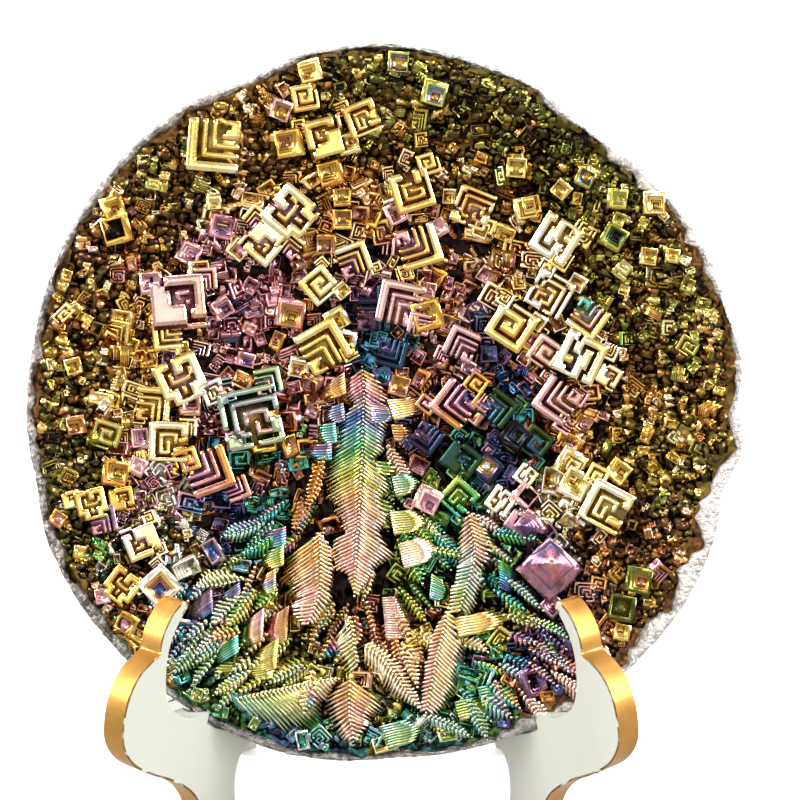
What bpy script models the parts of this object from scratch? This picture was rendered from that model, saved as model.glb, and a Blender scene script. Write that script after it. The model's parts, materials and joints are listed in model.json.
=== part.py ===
"""A round geode of bismuth hopper crystals, which leans in a white stand of two crossed panels.

Metres, +Z up. The front faces -Y. The origin is on the surface that the object stands on, under its middle.
"""

import math
import random

import bmesh
import bpy
from mathutils import Euler, Matrix, Vector, noise

MM = 0.001

# The geode, in a frame of its own: U to the right, V up along its face and W out of its face.
DISC_RADIUS = 75.0
DISC_CENTRE = Vector((0.0, -24.4, 97.4))
DISC_LEAN = math.radians(12)
DISC_SEGMENTS = 48
# How far the rim stands out of the circle at these angles, in degrees anticlockwise from U.
RIM_OFFSETS = (
    (0, -0.4), (8, 1.5), (16, 0.2), (24, 0.5), (34, -0.4), (42, -1.2), (50, -2.6), (57, -2.8),
    (64, -0.6), (76, -0.1), (90, 0.9), (104, 0.5), (112, -1.4), (122, 0.2), (136, 0.4), (152, -0.1),
    (170, -0.7), (184, -0.3), (193, -0.7), (203, 0.9), (216, 0.8), (236, 0.6), (256, 0.9), (272, -0.9),
    (286, -0.5), (312, 0.8), (328, 1.0), (338, 0.2), (346, -1.3), (353, 1.4), (360, -0.4),
)
# The shell's outside from its lip to its flat back: distance in from the rim, and depth.
SHELL_OUTSIDE = ((2.6, -0.7), (1.3, 0.0), (0.0, -1.2), (0.8, -8.0), (5.0, -17.0), (12.0, -24.0), (22.0, -27.0))
LIP_WIDTH = 3.0
LIP_DEPTH = -3.0
# The rings of the shell's inside and of the crust on it: distance from the middle.
INNER_RADII = (66.0, 55.0, 42.0, 28.0, 13.0)
SHELL_EDGE_DEPTH = 2.5
SHELL_MIDDLE_DEPTH = 21.0
SHELL_REACH = 71.0
CRUST_EDGE_DEPTH = 1.5
CRUST_MIDDLE_DEPTH = 14.5
CRUST_REACH = 70.0
CRUST_LUMP = 0.9
GAP = 0.35
HIGHEST_CRYSTAL = 0.6
FOOT_OF_CRYSTALS = -22.5
BOTTOM_OF_LINING = -24.0

# The main hopper crystals: place across and up from the middle, side, and turn in degrees.
HOPPERS = (
    (-34.8, 54.2, 10.4, -5), (-35.4, 42.7, 3.1, 5), (-55.2, 36.5, 5.8, 15), (-56, 41.2, 4.6, 20),
    (-15.4, 70.8, 6.2, 15), (-16, 63.9, 5.2, 10), (-21, 61.4, 4.2, -20), (-11.9, 55.8, 7.3, 15),
    (-19.4, 54.8, 5.8, 10), (-4.2, 59.8, 6.9, 22), (-10.8, 48.7, 5.2, 15), (7.3, 45.8, 7.5, 17),
    (2.9, 40.6, 4.6, 25), (19.2, 41.5, 7.3, -22), (12.1, 37.5, 3.7, 30), (7.7, 33.1, 7.9, 17),
    (-8.5, 39.2, 4.2, 0), (-11.9, 34.2, 4.2, 0), (-8.5, 43.7, 3.7, 5), (-6, 30.8, 6.2, 20),
    (-17.1, 42.1, 6.7, 50), (-20.8, 34.8, 6.2, -40), (-13.3, 25.4, 5.8, 40), (10.8, 65, 5, -15),
    (28.1, 49.8, 4.2, -5), (30, 41.5, 4.6, 10), (2.9, 73.5, 5.8, -5), (36.5, 34.8, 8.3, -32),
    (31.5, 42.1, 3.7, 12), (42.3, 47.3, 3.3, -25), (37.5, 45, 3.5, -40), (49, 42.9, 4.2, -5),
    (48.3, 35, 5, -30), (55.6, 31, 3.5, -8), (60.4, 31, 2.9, -10), (56.7, 42.1, 4.6, 0),
    (-45.8, 22.3, 7.5, 5), (-40.6, 25, 7.9, 5), (-45.2, 15.6, 5.8, 5), (-39.6, 18.7, 5.2, 8),
    (-34.2, 20.6, 4.6, 30), (-42.3, 5.8, 8.3, 20), (-48.3, 0.2, 6.9, -5), (-45, -7.7, 7.9, -2),
    (-40.6, 0, 4.6, 0), (-27.1, -2.7, 11.5, 8), (-31, -7.5, 4.2, 8), (-25.4, -7.5, 5.2, 8),
    (-64.4, 8.1, 3.3, 15), (-63.7, -4.2, 3.7, 10), (-36.9, -13.5, 9.4, 20), (-56.2, -15.2, 5.2, 0),
    (-55.6, -19.8, 7.1, 10), (-58.7, -22.9, 4.6, 10), (-69.2, -22.9, 4, 15), (-13.3, 11.9, 8.7, 28),
    (-19.6, 19.6, 6.2, -10), (-8.1, 13.5, 5.2, -10), (-1.5, 18.7, 7.3, 0), (0.6, 9.4, 7.9, -15),
    (3.3, 21.9, 8.3, -15), (9.6, 19, 6.2, 15), (27.7, 16.2, 7.9, -33), (16.9, 12.9, 6.2, -25),
    (16.2, -0.6, 10.4, -35), (9, -6.7, 5.8, -30), (25.6, 1, 7.3, -30), (16, -19.2, 5.4, -42),
    (9.8, -20, 4.6, -35), (3.5, 4, 4.2, -15), (35, 23.3, 8.3, -30), (42.9, 17.9, 7.1, -35),
    (41.7, 10, 8.7, -25), (47.1, 7.1, 4.6, -30), (32.9, 4.2, 7.3, -35), (39.8, -1.5, 8.3, -35),
    (34, -8.1, 5.8, -35), (39.8, -12.3, 5.8, -30), (40.8, -16.9, 6.2, -30), (46.5, -21.2, 8.7, -28),
    (49.6, -14, 4.6, -35), (31.5, 13.1, 4.6, -30), (35, -34.4, 10, 45), (53.3, -36.5, 5, -12),
    (50.8, -43.1, 4.6, -10), (51.7, -48.1, 3.7, -10), (-46, -37.9, 6.7, 42), (-48.7, -28.1, 5, 20),
    (-53.9, -38.5, 4.6, -40), (-59.4, -40.6, 3.3, 10), (-52.9, -46.5, 3.3, 10), (-17.7, 8.1, 4.6, -10),
    (30.2, -19.2, 3.7, -40), (24.6, -20.4, 5, -20), (31, -26, 6.2, 45),
)
PIT_SIDES = (0.72, 0.42)
PIT_DEPTHS = (0.16, 0.36)
SIDE_FOR_TWO_PITS = 7.8
SIDE_FOR_ONE_PIT = 4.9
# How far a hopper's top stands over the crust.
HOPPER_RISE = 1.6
HOPPER_RISE_SHARE = 0.42
HOPPER_RISE_SPREAD = 2.0

# Small cubes that fill the crust between the hoppers.
SMALL_CUBES = 40
SMALL_CUBE_SIDES = (2.8, 4.4)
SMALL_CUBE_REACH = 69.0
SEED = 83

# The dendrites. A leaf is a roof along a ridge: at each station the ridge, the left edge and the right edge.
# "rise" is the ridge's height over the crust at its two ends, "drop" is how far its edges lie below it.
TRUNK = (
    ((-4.4, 8.1), (-6.7, 6.0), (-2.1, 6.0)),
    ((-4.2, 6.0), (-7.7, 3.1), (1.0, 2.7)),
    ((-4.0, 2.7), (-6.0, -0.6), (0.0, 0.2)),
    ((-4.0, 0.0), (-8.7, -5.6), (2.9, -3.7)),
    ((-4.2, -4.2), (-10.0, -8.5), (0.8, -9.0)),
    ((-4.2, -7.3), (-11.0, -11.5), (-1.2, -11.7)),
    ((-4.2, -10.4), (-9.6, -14.8), (-1.0, -14.2)),
    ((-4.4, -13.1), (-12.7, -17.9), (2.9, -19.2)),
    ((-4.6, -17.3), (-9.8, -21.5), (-0.4, -22.1)),
    ((-4.8, -20.8), (-10.8, -26.5), (1.2, -26.0)),
    ((-5.0, -25.0), (-11.0, -32.3), (3.1, -31.9)),
    ((-5.4, -30.2), (-10.6, -36.5), (2.5, -36.5)),
    ((-5.8, -35.4), (-8.3, -39.0), (-2.1, -38.5)),
    ((-5.8, -40.0), (-6.7, -40.6), (-5.0, -40.2)),
)
LEFT_PLATE = (
    ((-13.3, -27.5), (-17.7, -28.3), (-12.1, -28.1)),
    ((-13.1, -29.8), (-20.4, -31.5), (-10.6, -30.6)),
    ((-12.9, -33.3), (-22.1, -36.9), (-10.0, -34.4)),
    ((-12.9, -37.5), (-18.7, -41.5), (-10.2, -38.5)),
    ((-13.3, -40.6), (-19.6, -43.1), (-10.8, -41.9)),
    ((-14.6, -43.7), (-17.7, -45.2), (-12.1, -44.4)),
    ((-15.4, -45.6), (-16.5, -46.5), (-14.2, -46.0)),
)
RIGHT_TRUNK = (
    ((13.3, -43.5), (12.1, -45.2), (15.2, -44.8)),
    ((13.1, -45.8), (10.6, -47.7), (17.1, -49.0)),
    ((12.1, -50.0), (9.4, -51.9), (17.7, -54.0)),
    ((11.2, -53.5), (8.7, -55.6), (16.7, -58.1)),
    ((10.4, -57.5), (8.1, -59.8), (15.4, -61.9)),
    ((9.2, -64.0), (7.9, -64.4), (11.7, -64.8)),
)
RIGHT_LEAF = (
    ((18.3, -22.7), (17.3, -24.0), (19.6, -23.5)),
    ((18.7, -25.6), (16.0, -28.1), (23.3, -27.3)),
    ((19.4, -29.2), (15.2, -31.9), (24.6, -31.7)),
    ((19.6, -32.5), (15.8, -34.4), (22.1, -34.4)),
    ((18.1, -37.5), (14.0, -40.4), (20.2, -41.5)),
    ((16.2, -43.1), (13.5, -44.4), (18.3, -44.8)),
)
OLIVE_LEAF = (
    ((-11.2, -44.0), (-16.5, -47.1), (-10.6, -43.9)),
    ((-8.7, -44.0), (-15.0, -48.7), (-8.1, -43.9)),
    ((-7.1, -44.4), (-12.9, -50.8), (-6.5, -44.4)),
    ((-6.2, -47.3), (-10.4, -53.9), (-5.6, -47.1)),
    ((-5.8, -51.7), (-8.3, -55.6), (-5.2, -51.5)),
    ((-5.2, -54.4), (-7.1, -56.5), (-4.6, -54.2)),
)
LOWER_CHEVRON = (
    ((-6.7, -57.7), (-7.9, -57.7), (-5.4, -57.5)),
    ((-6.9, -61.0), (-10.8, -60.4), (-2.1, -59.4)),
    ((-6.9, -64.6), (-12.1, -62.9), (1.7, -62.3)),
    ((-6.2, -67.9), (-11.2, -66.9), (-1.0, -65.8)),
    ((-6.0, -70.0), (-8.1, -70.0), (-4.8, -69.8)),
)
LOWER_FAN = (
    ((-25.0, -60.6), (-24.4, -66.0), (-25.4, -60.4)),
    ((-20.4, -59.8), (-17.5, -66.2), (-20.4, -59.2)),
    ((-16.0, -58.7), (-14.4, -65.0), (-16.0, -58.1)),
    ((-13.1, -58.1), (-12.7, -61.5), (-12.9, -57.5)),
)
LOWER_BLADE = (
    ((-3.3, -50.4), (-4.6, -51.0), (-1.9, -49.6)),
    ((0.4, -53.1), (-3.7, -55.8), (2.7, -53.1)),
    ((3.1, -56.5), (-0.8, -58.9), (6.2, -56.5)),
    ((5.2, -59.8), (2.1, -61.2), (7.5, -60.2)),
    ((7.5, -62.9), (5.8, -62.7), (8.5, -63.5)),
)
DENDRITES = (
    {"stations": TRUNK, "rise": (4.0, 9.0), "drop": 2.2},
    {"stations": LEFT_PLATE, "rise": (7.0, 8.5), "drop": 1.8},
    {"stations": RIGHT_TRUNK, "rise": (7.0, 5.0), "drop": 1.6},
    {"stations": RIGHT_LEAF, "rise": (6.0, 6.5), "drop": 1.8},
    {"stations": OLIVE_LEAF, "rise": (6.5, 5.5), "drop": 1.2},
    {"stations": LOWER_CHEVRON, "rise": (5.5, 2.5), "drop": 1.2},
    {"stations": LOWER_FAN, "rise": (4.5, 5.0), "drop": 1.6},
    {"stations": LOWER_BLADE, "rise": (6.0, 5.0), "drop": 1.4},
)

# The stand: two alike panels, turned to the left and to the right, which cross behind the geode.
STAND_ACROSS = -2.1
PANEL_THICKNESS = 6.0
PANEL_TURN = math.radians(45)
PANEL_CHAMFER = 0.8
# A panel's outline: distance from the crossing, front negative, and height. The runs are smooth curves, with
# a corner where one run meets the next.
PANEL_RUNS = (
    ((-57.5, 0.0), (-36.5, 0.0)),
    ((-36.5, 0.0), (-38.5, 4.0), (-43.0, 9.0), (-44.3, 15.0), (-43.4, 21.5), (-40.0, 25.2), (-32.0, 26.3),
     (-16.0, 27.2), (0.0, 27.6), (20.0, 26.0), (34.0, 20.0), (41.0, 11.0), (44.0, 0.0)),
    ((44.0, 0.0), (72.5, 0.0)),
    ((72.5, 0.0), (74.2, 2.6), (71.5, 6.0), (62.0, 11.0), (52.0, 20.0), (43.0, 35.0), (35.5, 54.0),
     (29.5, 73.0), (25.0, 87.0), (18.0, 93.5), (9.0, 93.0), (1.0, 84.0), (-6.0, 62.0), (-14.0, 46.0),
     (-26.0, 38.0), (-42.0, 36.0), (-54.5, 34.9), (-58.2, 36.0), (-60.9, 38.2), (-62.0, 41.5), (-62.1, 45.5),
     (-61.4, 50.0), (-59.8, 54.0), (-57.2, 57.6), (-55.9, 59.4), (-57.2, 60.2), (-60.0, 58.2),
     (-62.6, 54.4), (-63.7, 50.6)),
    ((-63.7, 50.6), (-68.6, 47.6), (-72.0, 43.2), (-73.8, 37.6), (-73.8, 33.0), (-71.2, 28.8), (-66.5, 25.5),
     (-60.8, 22.4), (-55.6, 18.0), (-53.2, 12.0), (-54.8, 6.0), (-58.2, 2.6), (-57.5, 0.0)),
)
POINTS_PER_SPAN = 2
CROSSING_HEIGHT = 41.0
SLOT_CLEARANCE = 0.3

COLOURS = {
    "bismuth_shell": ((0.62, 0.60, 0.58, 1.0), 0.42, 1.0),
    "crystal_crust": ((0.62, 0.42, 0.16, 1.0), 0.25, 1.0),
    "stand_panel_left": ((0.90, 0.90, 0.86, 1.0), 0.22, 0.0),
    "stand_panel_right": ((0.90, 0.90, 0.86, 1.0), 0.22, 0.0),
}


def clear_scene():
    for thing in list(bpy.data.objects):
        bpy.data.objects.remove(thing, do_unlink=True)


def disc_frame():
    """The matrix that takes the geode's own frame, in millimetres, to the world, in metres."""
    upright = math.radians(90) - DISC_LEAN
    return Matrix.Scale(MM, 4) @ Matrix.Translation(DISC_CENTRE) @ Euler((upright, 0, 0)).to_matrix().to_4x4()


def mesh_object(name, points, faces, frame):
    """A closed mesh from points in `frame`, with its faces turned outwards."""
    mesh = bpy.data.meshes.new(name)
    built = bmesh.new()
    corners = [built.verts.new(frame @ Vector(point)) for point in points]
    for face in faces:
        built.faces.new([corners[index] for index in face])
    bmesh.ops.triangulate(built, faces=[face for face in built.faces if len(face.verts) > 3])
    bmesh.ops.recalc_face_normals(built, faces=built.faces)
    built.to_mesh(mesh)
    built.free()
    made = bpy.data.objects.new(name, mesh)
    bpy.context.scene.collection.objects.link(made)
    return made


def helper(made):
    """Keeps a cutter or a joined shape out of the finished part."""
    made.hide_render = True
    made.display_type = "WIRE"
    return made


def boolean(target, operation, other, solver="EXACT"):
    cut = target.modifiers.new(operation.lower(), "BOOLEAN")
    cut.solver = solver
    cut.operation = operation
    if isinstance(other, bpy.types.Collection):
        cut.operand_type = "COLLECTION"
        cut.collection = other
    else:
        cut.object = other


def material(name):
    colour, roughness, metallic = COLOURS[name]
    made = bpy.data.materials.new(name)
    made.use_nodes = True
    shader = made.node_tree.nodes["Principled BSDF"]
    shader.inputs["Base Color"].default_value = colour
    shader.inputs["Roughness"].default_value = roughness
    shader.inputs["Metallic"].default_value = metallic
    return made


def rim_radius(angle):
    """The rim's distance from the middle at an angle in degrees."""
    for (start, low), (end, high) in zip(RIM_OFFSETS, RIM_OFFSETS[1:]):
        if start <= angle % 360 <= end:
            return DISC_RADIUS + low + (high - low) * (angle % 360 - start) / (end - start)
    return DISC_RADIUS


def bowl_depth(distance, edge, middle, reach, power):
    return -(edge + (middle - edge) * (1 - (min(distance, reach) / reach) ** power))


def shell_depth(distance):
    return bowl_depth(distance, SHELL_EDGE_DEPTH, SHELL_MIDDLE_DEPTH, SHELL_REACH, 3.0)


def crust_depth(distance):
    return bowl_depth(distance, CRUST_EDGE_DEPTH, CRUST_MIDDLE_DEPTH, CRUST_REACH, 2.5)


def ring(distance_at, depth_at):
    """One ring of points round the geode's axis."""
    points = []
    for step in range(DISC_SEGMENTS):
        angle = 360 * step / DISC_SEGMENTS
        distance = distance_at(angle)
        across = distance * math.cos(math.radians(angle))
        up = distance * math.sin(math.radians(angle))
        points.append((across, up, depth_at(across, up)))
    return points


def inset_ring(inset, depth):
    return ring(lambda angle: rim_radius(angle) - inset, lambda across, up: depth)


def round_ring(radius, depth_at):
    return ring(lambda angle: radius, depth_at)


def turned(name, front, rings, back):
    """A closed solid through rings of points, closed by a point in front and one behind."""
    points = [front] + [point for one in rings for point in one] + [back]
    faces = []
    for step in range(DISC_SEGMENTS):
        after = (step + 1) % DISC_SEGMENTS
        faces.append((0, 1 + step, 1 + after))
        for level in range(len(rings) - 1):
            low = 1 + level * DISC_SEGMENTS
            high = low + DISC_SEGMENTS
            faces.append((low + step, high + step, high + after, low + after))
        last = 1 + (len(rings) - 1) * DISC_SEGMENTS
        faces.append((last + step, len(points) - 1, last + after))
    return mesh_object(name, points, faces, disc_frame())


def outside_rings(clearance):
    return [inset_ring(inset - clearance, depth) for inset, depth in SHELL_OUTSIDE]


def make_shell():
    """The cast bowl: a rough round lip, a flat back and an even, deep inside."""
    inside = [round_ring(radius, lambda across, up: shell_depth(math.hypot(across, up)))
              for radius in reversed(INNER_RADII)]
    lip = [inset_ring(LIP_WIDTH, LIP_DEPTH)]
    back = (0, 0, SHELL_OUTSIDE[-1][1])
    return turned("bismuth_shell", (0, 0, -SHELL_MIDDLE_DEPTH), inside + lip + outside_rings(0), back)


def make_envelope():
    """A little more than the shell's outside, filled, which the stand's seats are cut to."""
    front = (0, 0, GAP)
    rings = [inset_ring(0, GAP)] + [
        [(x, y, z - GAP) for x, y, z in one] for one in outside_rings(GAP)[2:]
    ]
    return helper(turned("geode_envelope", front, rings, (0, 0, SHELL_OUTSIDE[-1][1] - GAP)))


def make_cavity():
    """The space over the shell's inside that the crust may fill."""
    def depth_at(across, up):
        return shell_depth(math.hypot(across, up)) + GAP
    edge = LIP_WIDTH + GAP
    rings = [inset_ring(edge, 12.0), inset_ring(edge, LIP_DEPTH + 2 * GAP)]
    rings += [round_ring(radius, depth_at) for radius in INNER_RADII]
    return helper(turned("crust_cavity", (0, 0, 12.0), rings, (0, 0, GAP - SHELL_MIDDLE_DEPTH)))


def lumpy_depth(across, up):
    lump = noise.noise(Vector((across * 0.09, up * 0.09, 3.7)))
    return crust_depth(math.hypot(across, up)) + CRUST_LUMP * lump


def make_lining():
    """The crust's ground, from which the crystals stand out."""
    top = [round_ring(radius, lumpy_depth) for radius in reversed(INNER_RADII)]
    edge = [inset_ring(1.0, -CRUST_EDGE_DEPTH), inset_ring(1.0, BOTTOM_OF_LINING)]
    front = (0, 0, lumpy_depth(0, 0))
    return turned("crystal_crust", front, top + edge, (0, 0, BOTTOM_OF_LINING))


def wall_slope(distance):
    """How steeply the crust rises towards the rim, as an angle."""
    step = 0.5
    return math.atan((crust_depth(distance + step) - crust_depth(distance)) / step)


def standing(across, up, top, turn, lean):
    """The frame of a crystal whose top is at this place, turned about W and leaning to the middle."""
    outward = math.atan2(up, across)
    tilt = Matrix.Rotation(outward, 4, "Z") @ Matrix.Rotation(-lean, 4, "Y") @ Matrix.Rotation(-outward, 4, "Z")
    return disc_frame() @ Matrix.Translation((across, up, top)) @ tilt @ Matrix.Rotation(turn, 4, "Z")


def square(side, height):
    half = side / 2
    return [(-half, -half, height), (half, -half, height), (half, half, height), (-half, half, height)]


def hopper(name, side, height, pits, frame):
    """A cube whose top is a square pit with ledges, as crystals of bismuth grow."""
    levels = [square(side, -height), square(side, 0.0)]
    above = 0.0
    for share, depth in list(zip(PIT_SIDES, PIT_DEPTHS))[:pits]:
        levels += [square(side * share, above), square(side * share, -side * depth)]
        above = -side * depth
    points = [point for level in levels for point in level]
    faces = [(0, 1, 2, 3)]
    for low in range(0, 4 * (len(levels) - 1), 4):
        faces += [(low + i, low + (i + 1) % 4, low + 4 + (i + 1) % 4, low + 4 + i) for i in range(4)]
    last = len(points) - 4
    faces.append((last, last + 1, last + 2, last + 3))
    return mesh_object(name, points, faces, frame)


def make_hoppers(chance):
    made = []
    for index, (across, up, side, turn) in enumerate(HOPPERS):
        distance = math.hypot(across, up)
        ground = crust_depth(distance)
        rise = HOPPER_RISE + HOPPER_RISE_SHARE * side + chance.uniform(0.0, HOPPER_RISE_SPREAD)
        top = min(ground + rise, HIGHEST_CRYSTAL)
        lean = 0.35 * wall_slope(distance) + math.radians(chance.uniform(-4, 4))
        pits = 2 if side > SIDE_FOR_TWO_PITS else 1 if side > SIDE_FOR_ONE_PIT else 0
        frame = standing(across, up, top, math.radians(turn), lean)
        made.append(hopper(f"hopper_{index}", side, top - ground + 0.4 * side, pits, frame))
    return made


def free_place(chance, taken, side):
    """A random place on the crust that is clear of the crystals there."""
    while True:
        distance = SMALL_CUBE_REACH * math.sqrt(chance.random())
        angle = chance.uniform(0, 2 * math.pi)
        across = distance * math.cos(angle)
        up = distance * math.sin(angle)
        if all(math.hypot(across - x, up - y) > 0.6 * (side + other) for x, y, other in taken):
            return across, up


def dendrite_places():
    return [(*point, 5.0) for leaf in DENDRITES for station in leaf["stations"] for point in station]


def make_small_cubes(chance):
    made = []
    taken = [(across, up, side) for across, up, side, _ in HOPPERS] + dendrite_places()
    for index in range(SMALL_CUBES):
        side = chance.uniform(*SMALL_CUBE_SIDES)
        across, up = free_place(chance, taken, side)
        taken.append((across, up, side))
        distance = math.hypot(across, up)
        ground = crust_depth(distance)
        top = min(ground + chance.uniform(0.8, 2.2), HIGHEST_CRYSTAL)
        lean = 0.5 * wall_slope(distance) + math.radians(chance.uniform(-12, 12))
        frame = standing(across, up, top, math.radians(chance.uniform(-35, 25)), lean)
        made.append(hopper(f"cube_{index}", side, top - ground + 0.5 * side, 0, frame))
    return made


def make_leaf(name, stations, rise, drop):
    """A roof along a ridge, with walls down into the crust."""
    points = []
    last = len(stations) - 1
    for index, (ridge, left, right) in enumerate(stations):
        share = index / last
        height = crust_depth(math.hypot(*ridge)) + rise[0] + (rise[1] - rise[0]) * share
        height = min(height, HIGHEST_CRYSTAL + drop)
        points += [(*left, FOOT_OF_CRYSTALS), (*left, height - drop), (*ridge, height)]
        points += [(*right, height - drop), (*right, FOOT_OF_CRYSTALS)]
    faces = [(0, 1, 2, 3, 4), tuple(5 * last + corner for corner in range(5))]
    for low in range(0, 5 * last, 5):
        faces += [(low + i, low + (i + 1) % 5, low + 5 + (i + 1) % 5, low + 5 + i) for i in range(5)]
    return mesh_object(name, points, faces, disc_frame())


def make_crust():
    """All the crystals and the ground that they grew on, joined in one solid and kept clear of the shell."""
    chance = random.Random(SEED)
    crystals = bpy.data.collections.new("crystals")
    bpy.context.scene.collection.children.link(crystals)
    leaves = [make_leaf(f"leaf_{index}", **leaf) for index, leaf in enumerate(DENDRITES)]
    for made in make_hoppers(chance) + make_small_cubes(chance) + leaves:
        bpy.context.scene.collection.objects.unlink(made)
        crystals.objects.link(helper(made))
    crust = make_lining()
    boolean(crust, "UNION", crystals, "MANIFOLD")
    boolean(crust, "INTERSECT", make_cavity(), "MANIFOLD")
    return crust


def smooth_run(points):
    """Points on a smooth curve through these, without the last."""
    if len(points) == 2:
        return [points[0]]
    ends = [points[0], *points, points[-1]]
    run = []
    for before, start, end, after in zip(ends, ends[1:], ends[2:], ends[3:]):
        for step in range(POINTS_PER_SPAN):
            t = step / POINTS_PER_SPAN
            run.append(tuple(
                0.5 * (2 * b + (c - a) * t + (2 * a - 5 * b + 4 * c - d) * t * t
                       + (3 * b - a - 3 * c + d) * t ** 3)
                for a, b, c, d in zip(before, start, end, after)
            ))
    return run


def panel_frame(side):
    """The matrix of a panel's own frame, in millimetres: X along it, Y up and Z through it."""
    turn = PANEL_TURN if side == "left" else math.pi - PANEL_TURN
    across = Vector((math.cos(turn), math.sin(turn), 0))
    through = across.cross(Vector((0, 0, 1)))
    axes = Matrix((across, Vector((0, 0, 1)), through)).transposed().to_4x4()
    return Matrix.Scale(MM, 4) @ Matrix.Translation((STAND_ACROSS, 0, 0)) @ axes


def panel_mesh(name, frame):
    outline = [point for run in PANEL_RUNS for point in smooth_run(run)]
    built = bmesh.new()
    near = [built.verts.new((s, z, -PANEL_THICKNESS / 2)) for s, z in outline]
    far = [built.verts.new((s, z, PANEL_THICKNESS / 2)) for s, z in outline]
    faces = [built.faces.new(near), built.faces.new(far)]
    rims = [edge for face in faces for edge in face.edges]
    for index in range(len(outline)):
        after = (index + 1) % len(outline)
        built.faces.new((near[index], near[after], far[after], far[index]))
    bmesh.ops.bevel(built, geom=rims, offset=PANEL_CHAMFER, segments=1, affect="EDGES", clamp_overlap=True)
    built.transform(frame)
    bmesh.ops.recalc_face_normals(built, faces=built.faces)
    mesh = bpy.data.meshes.new(name)
    built.to_mesh(mesh)
    built.free()
    return mesh


def box(name, low, high, frame):
    points = [(x, y, z) for x in (low[0], high[0]) for y in (low[1], high[1]) for z in (low[2], high[2])]
    faces = [(0, 1, 3, 2), (4, 5, 7, 6), (0, 1, 5, 4), (2, 3, 7, 6), (0, 2, 6, 4), (1, 3, 7, 5)]
    return helper(mesh_object(name, points, faces, frame))


def make_panel(side, envelope):
    """One panel: hook in front, seat, back rest and feet, with the slot where the panels cross."""
    name = f"stand_panel_{side}"
    frame = panel_frame(side)
    panel = bpy.data.objects.new(name, panel_mesh(name, frame))
    bpy.context.scene.collection.objects.link(panel)
    half = PANEL_THICKNESS / 2 + SLOT_CLEARANCE
    if side == "left":
        low, high = CROSSING_HEIGHT, 120.0
    else:
        low, high = -10.0, CROSSING_HEIGHT + SLOT_CLEARANCE
    boolean(panel, "DIFFERENCE", box(f"slot_{side}", (-half, low, -half - 3), (half, high, half + 3), frame))
    boolean(panel, "DIFFERENCE", envelope)
    return panel


def main():
    clear_scene()
    envelope = make_envelope()
    nodes = [make_shell(), make_crust(), make_panel("left", envelope), make_panel("right", envelope)]
    for node in nodes:
        node.data.materials.append(material(node.name))


main()
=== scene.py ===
import itertools
import json
import math
import random

import bmesh
import bpy
import numpy as np
from mathutils import Euler, Matrix, Vector, noise

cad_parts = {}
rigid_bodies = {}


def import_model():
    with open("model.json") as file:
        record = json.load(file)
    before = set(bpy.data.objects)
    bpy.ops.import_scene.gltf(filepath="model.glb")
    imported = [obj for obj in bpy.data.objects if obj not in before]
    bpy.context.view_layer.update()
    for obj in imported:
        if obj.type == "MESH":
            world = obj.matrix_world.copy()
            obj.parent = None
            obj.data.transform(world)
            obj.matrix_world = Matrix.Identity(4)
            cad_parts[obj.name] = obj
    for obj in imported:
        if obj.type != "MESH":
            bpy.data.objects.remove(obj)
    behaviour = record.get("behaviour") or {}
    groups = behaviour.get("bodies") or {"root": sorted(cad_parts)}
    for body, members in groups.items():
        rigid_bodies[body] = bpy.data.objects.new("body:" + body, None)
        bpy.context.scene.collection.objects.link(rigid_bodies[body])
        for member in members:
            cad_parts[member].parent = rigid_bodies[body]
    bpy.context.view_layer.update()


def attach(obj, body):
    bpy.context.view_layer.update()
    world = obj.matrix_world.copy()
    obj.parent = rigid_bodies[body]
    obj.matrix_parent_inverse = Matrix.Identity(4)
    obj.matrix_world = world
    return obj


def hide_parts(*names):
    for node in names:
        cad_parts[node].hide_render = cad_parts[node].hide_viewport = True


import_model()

MM = 0.001

# ---------------------------------------------------------------------------------------------------------
# The geode's driving sizes, in millimetres, in its own frame: U to the right, V up along its face and W out
# of its face. They are the same as the CAD's.
DISC_RADIUS = 75.0
DISC_CENTRE = Vector((0.0, -24.4, 97.4))
DISC_LEAN = math.radians(12)
# How far the rim stands out from the disc's radius at these angles, in degrees from U towards V.
RIM_OFFSETS = (
    (0, -0.4), (8, 1.5), (16, 0.2), (24, 0.5), (34, -0.4), (42, -1.2), (50, -2.6), (57, -2.8),
    (64, -0.6), (76, -0.1), (90, 0.9), (104, 0.5), (112, -1.4), (122, 0.2), (136, 0.4), (152, -0.1),
    (170, -0.7), (184, -0.3), (193, -0.7), (203, 0.9), (216, 0.8), (236, 0.6), (256, 0.9), (272, -0.9),
    (286, -0.5), (312, 0.8), (328, 1.0), (338, 0.2), (346, -1.3), (353, 1.4), (360, -0.4),
)
# The shell's outside, from the lip to the back: how far in from the rim, and how far out of the face.
SHELL_OUTSIDE = ((0.25, -0.8), (0.15, -1.6), (0.8, -8.0), (2.6, -13.0), (5.0, -17.0), (8.0, -21.0),
                 (12.0, -24.0), (22.0, -27.0))
SHELL_DEPTH = 27.0
# The crust is a bowl, and its crystals rise over it by an amount that grows with their side.
CRUST_EDGE_DEPTH = 1.5
CRUST_MIDDLE_DEPTH = 14.5
CRUST_REACH = 70.0
HIGHEST_CRYSTAL = 0.55
HIGHEST_LEAF = HIGHEST_CRYSTAL + 0.2
HOPPER_RISE = 1.6
HOPPER_RISE_SHARE = 0.42
HOPPER_RISE_SPREAD = 2.0
SEED = 83
# The lip's width at these angles: thin at the top, broad and pale at the lower right.
LIP_WIDTHS = (
    (0, 1.6), (18, 1.4), (27, 2.2), (42, 2.1), (52, 1.4), (62, 1.2), (90, 1.0), (104, 1.6), (128, 1.8),
    (150, 1.5), (180, 1.7), (205, 1.9), (230, 2.0), (250, 1.5), (275, 1.3), (292, 2.2), (305, 3.2),
    (315, 3.4), (325, 2.8), (333, 3.0), (340, 4.6), (346, 3.0), (352, 2.2), (360, 1.6),
)

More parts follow.
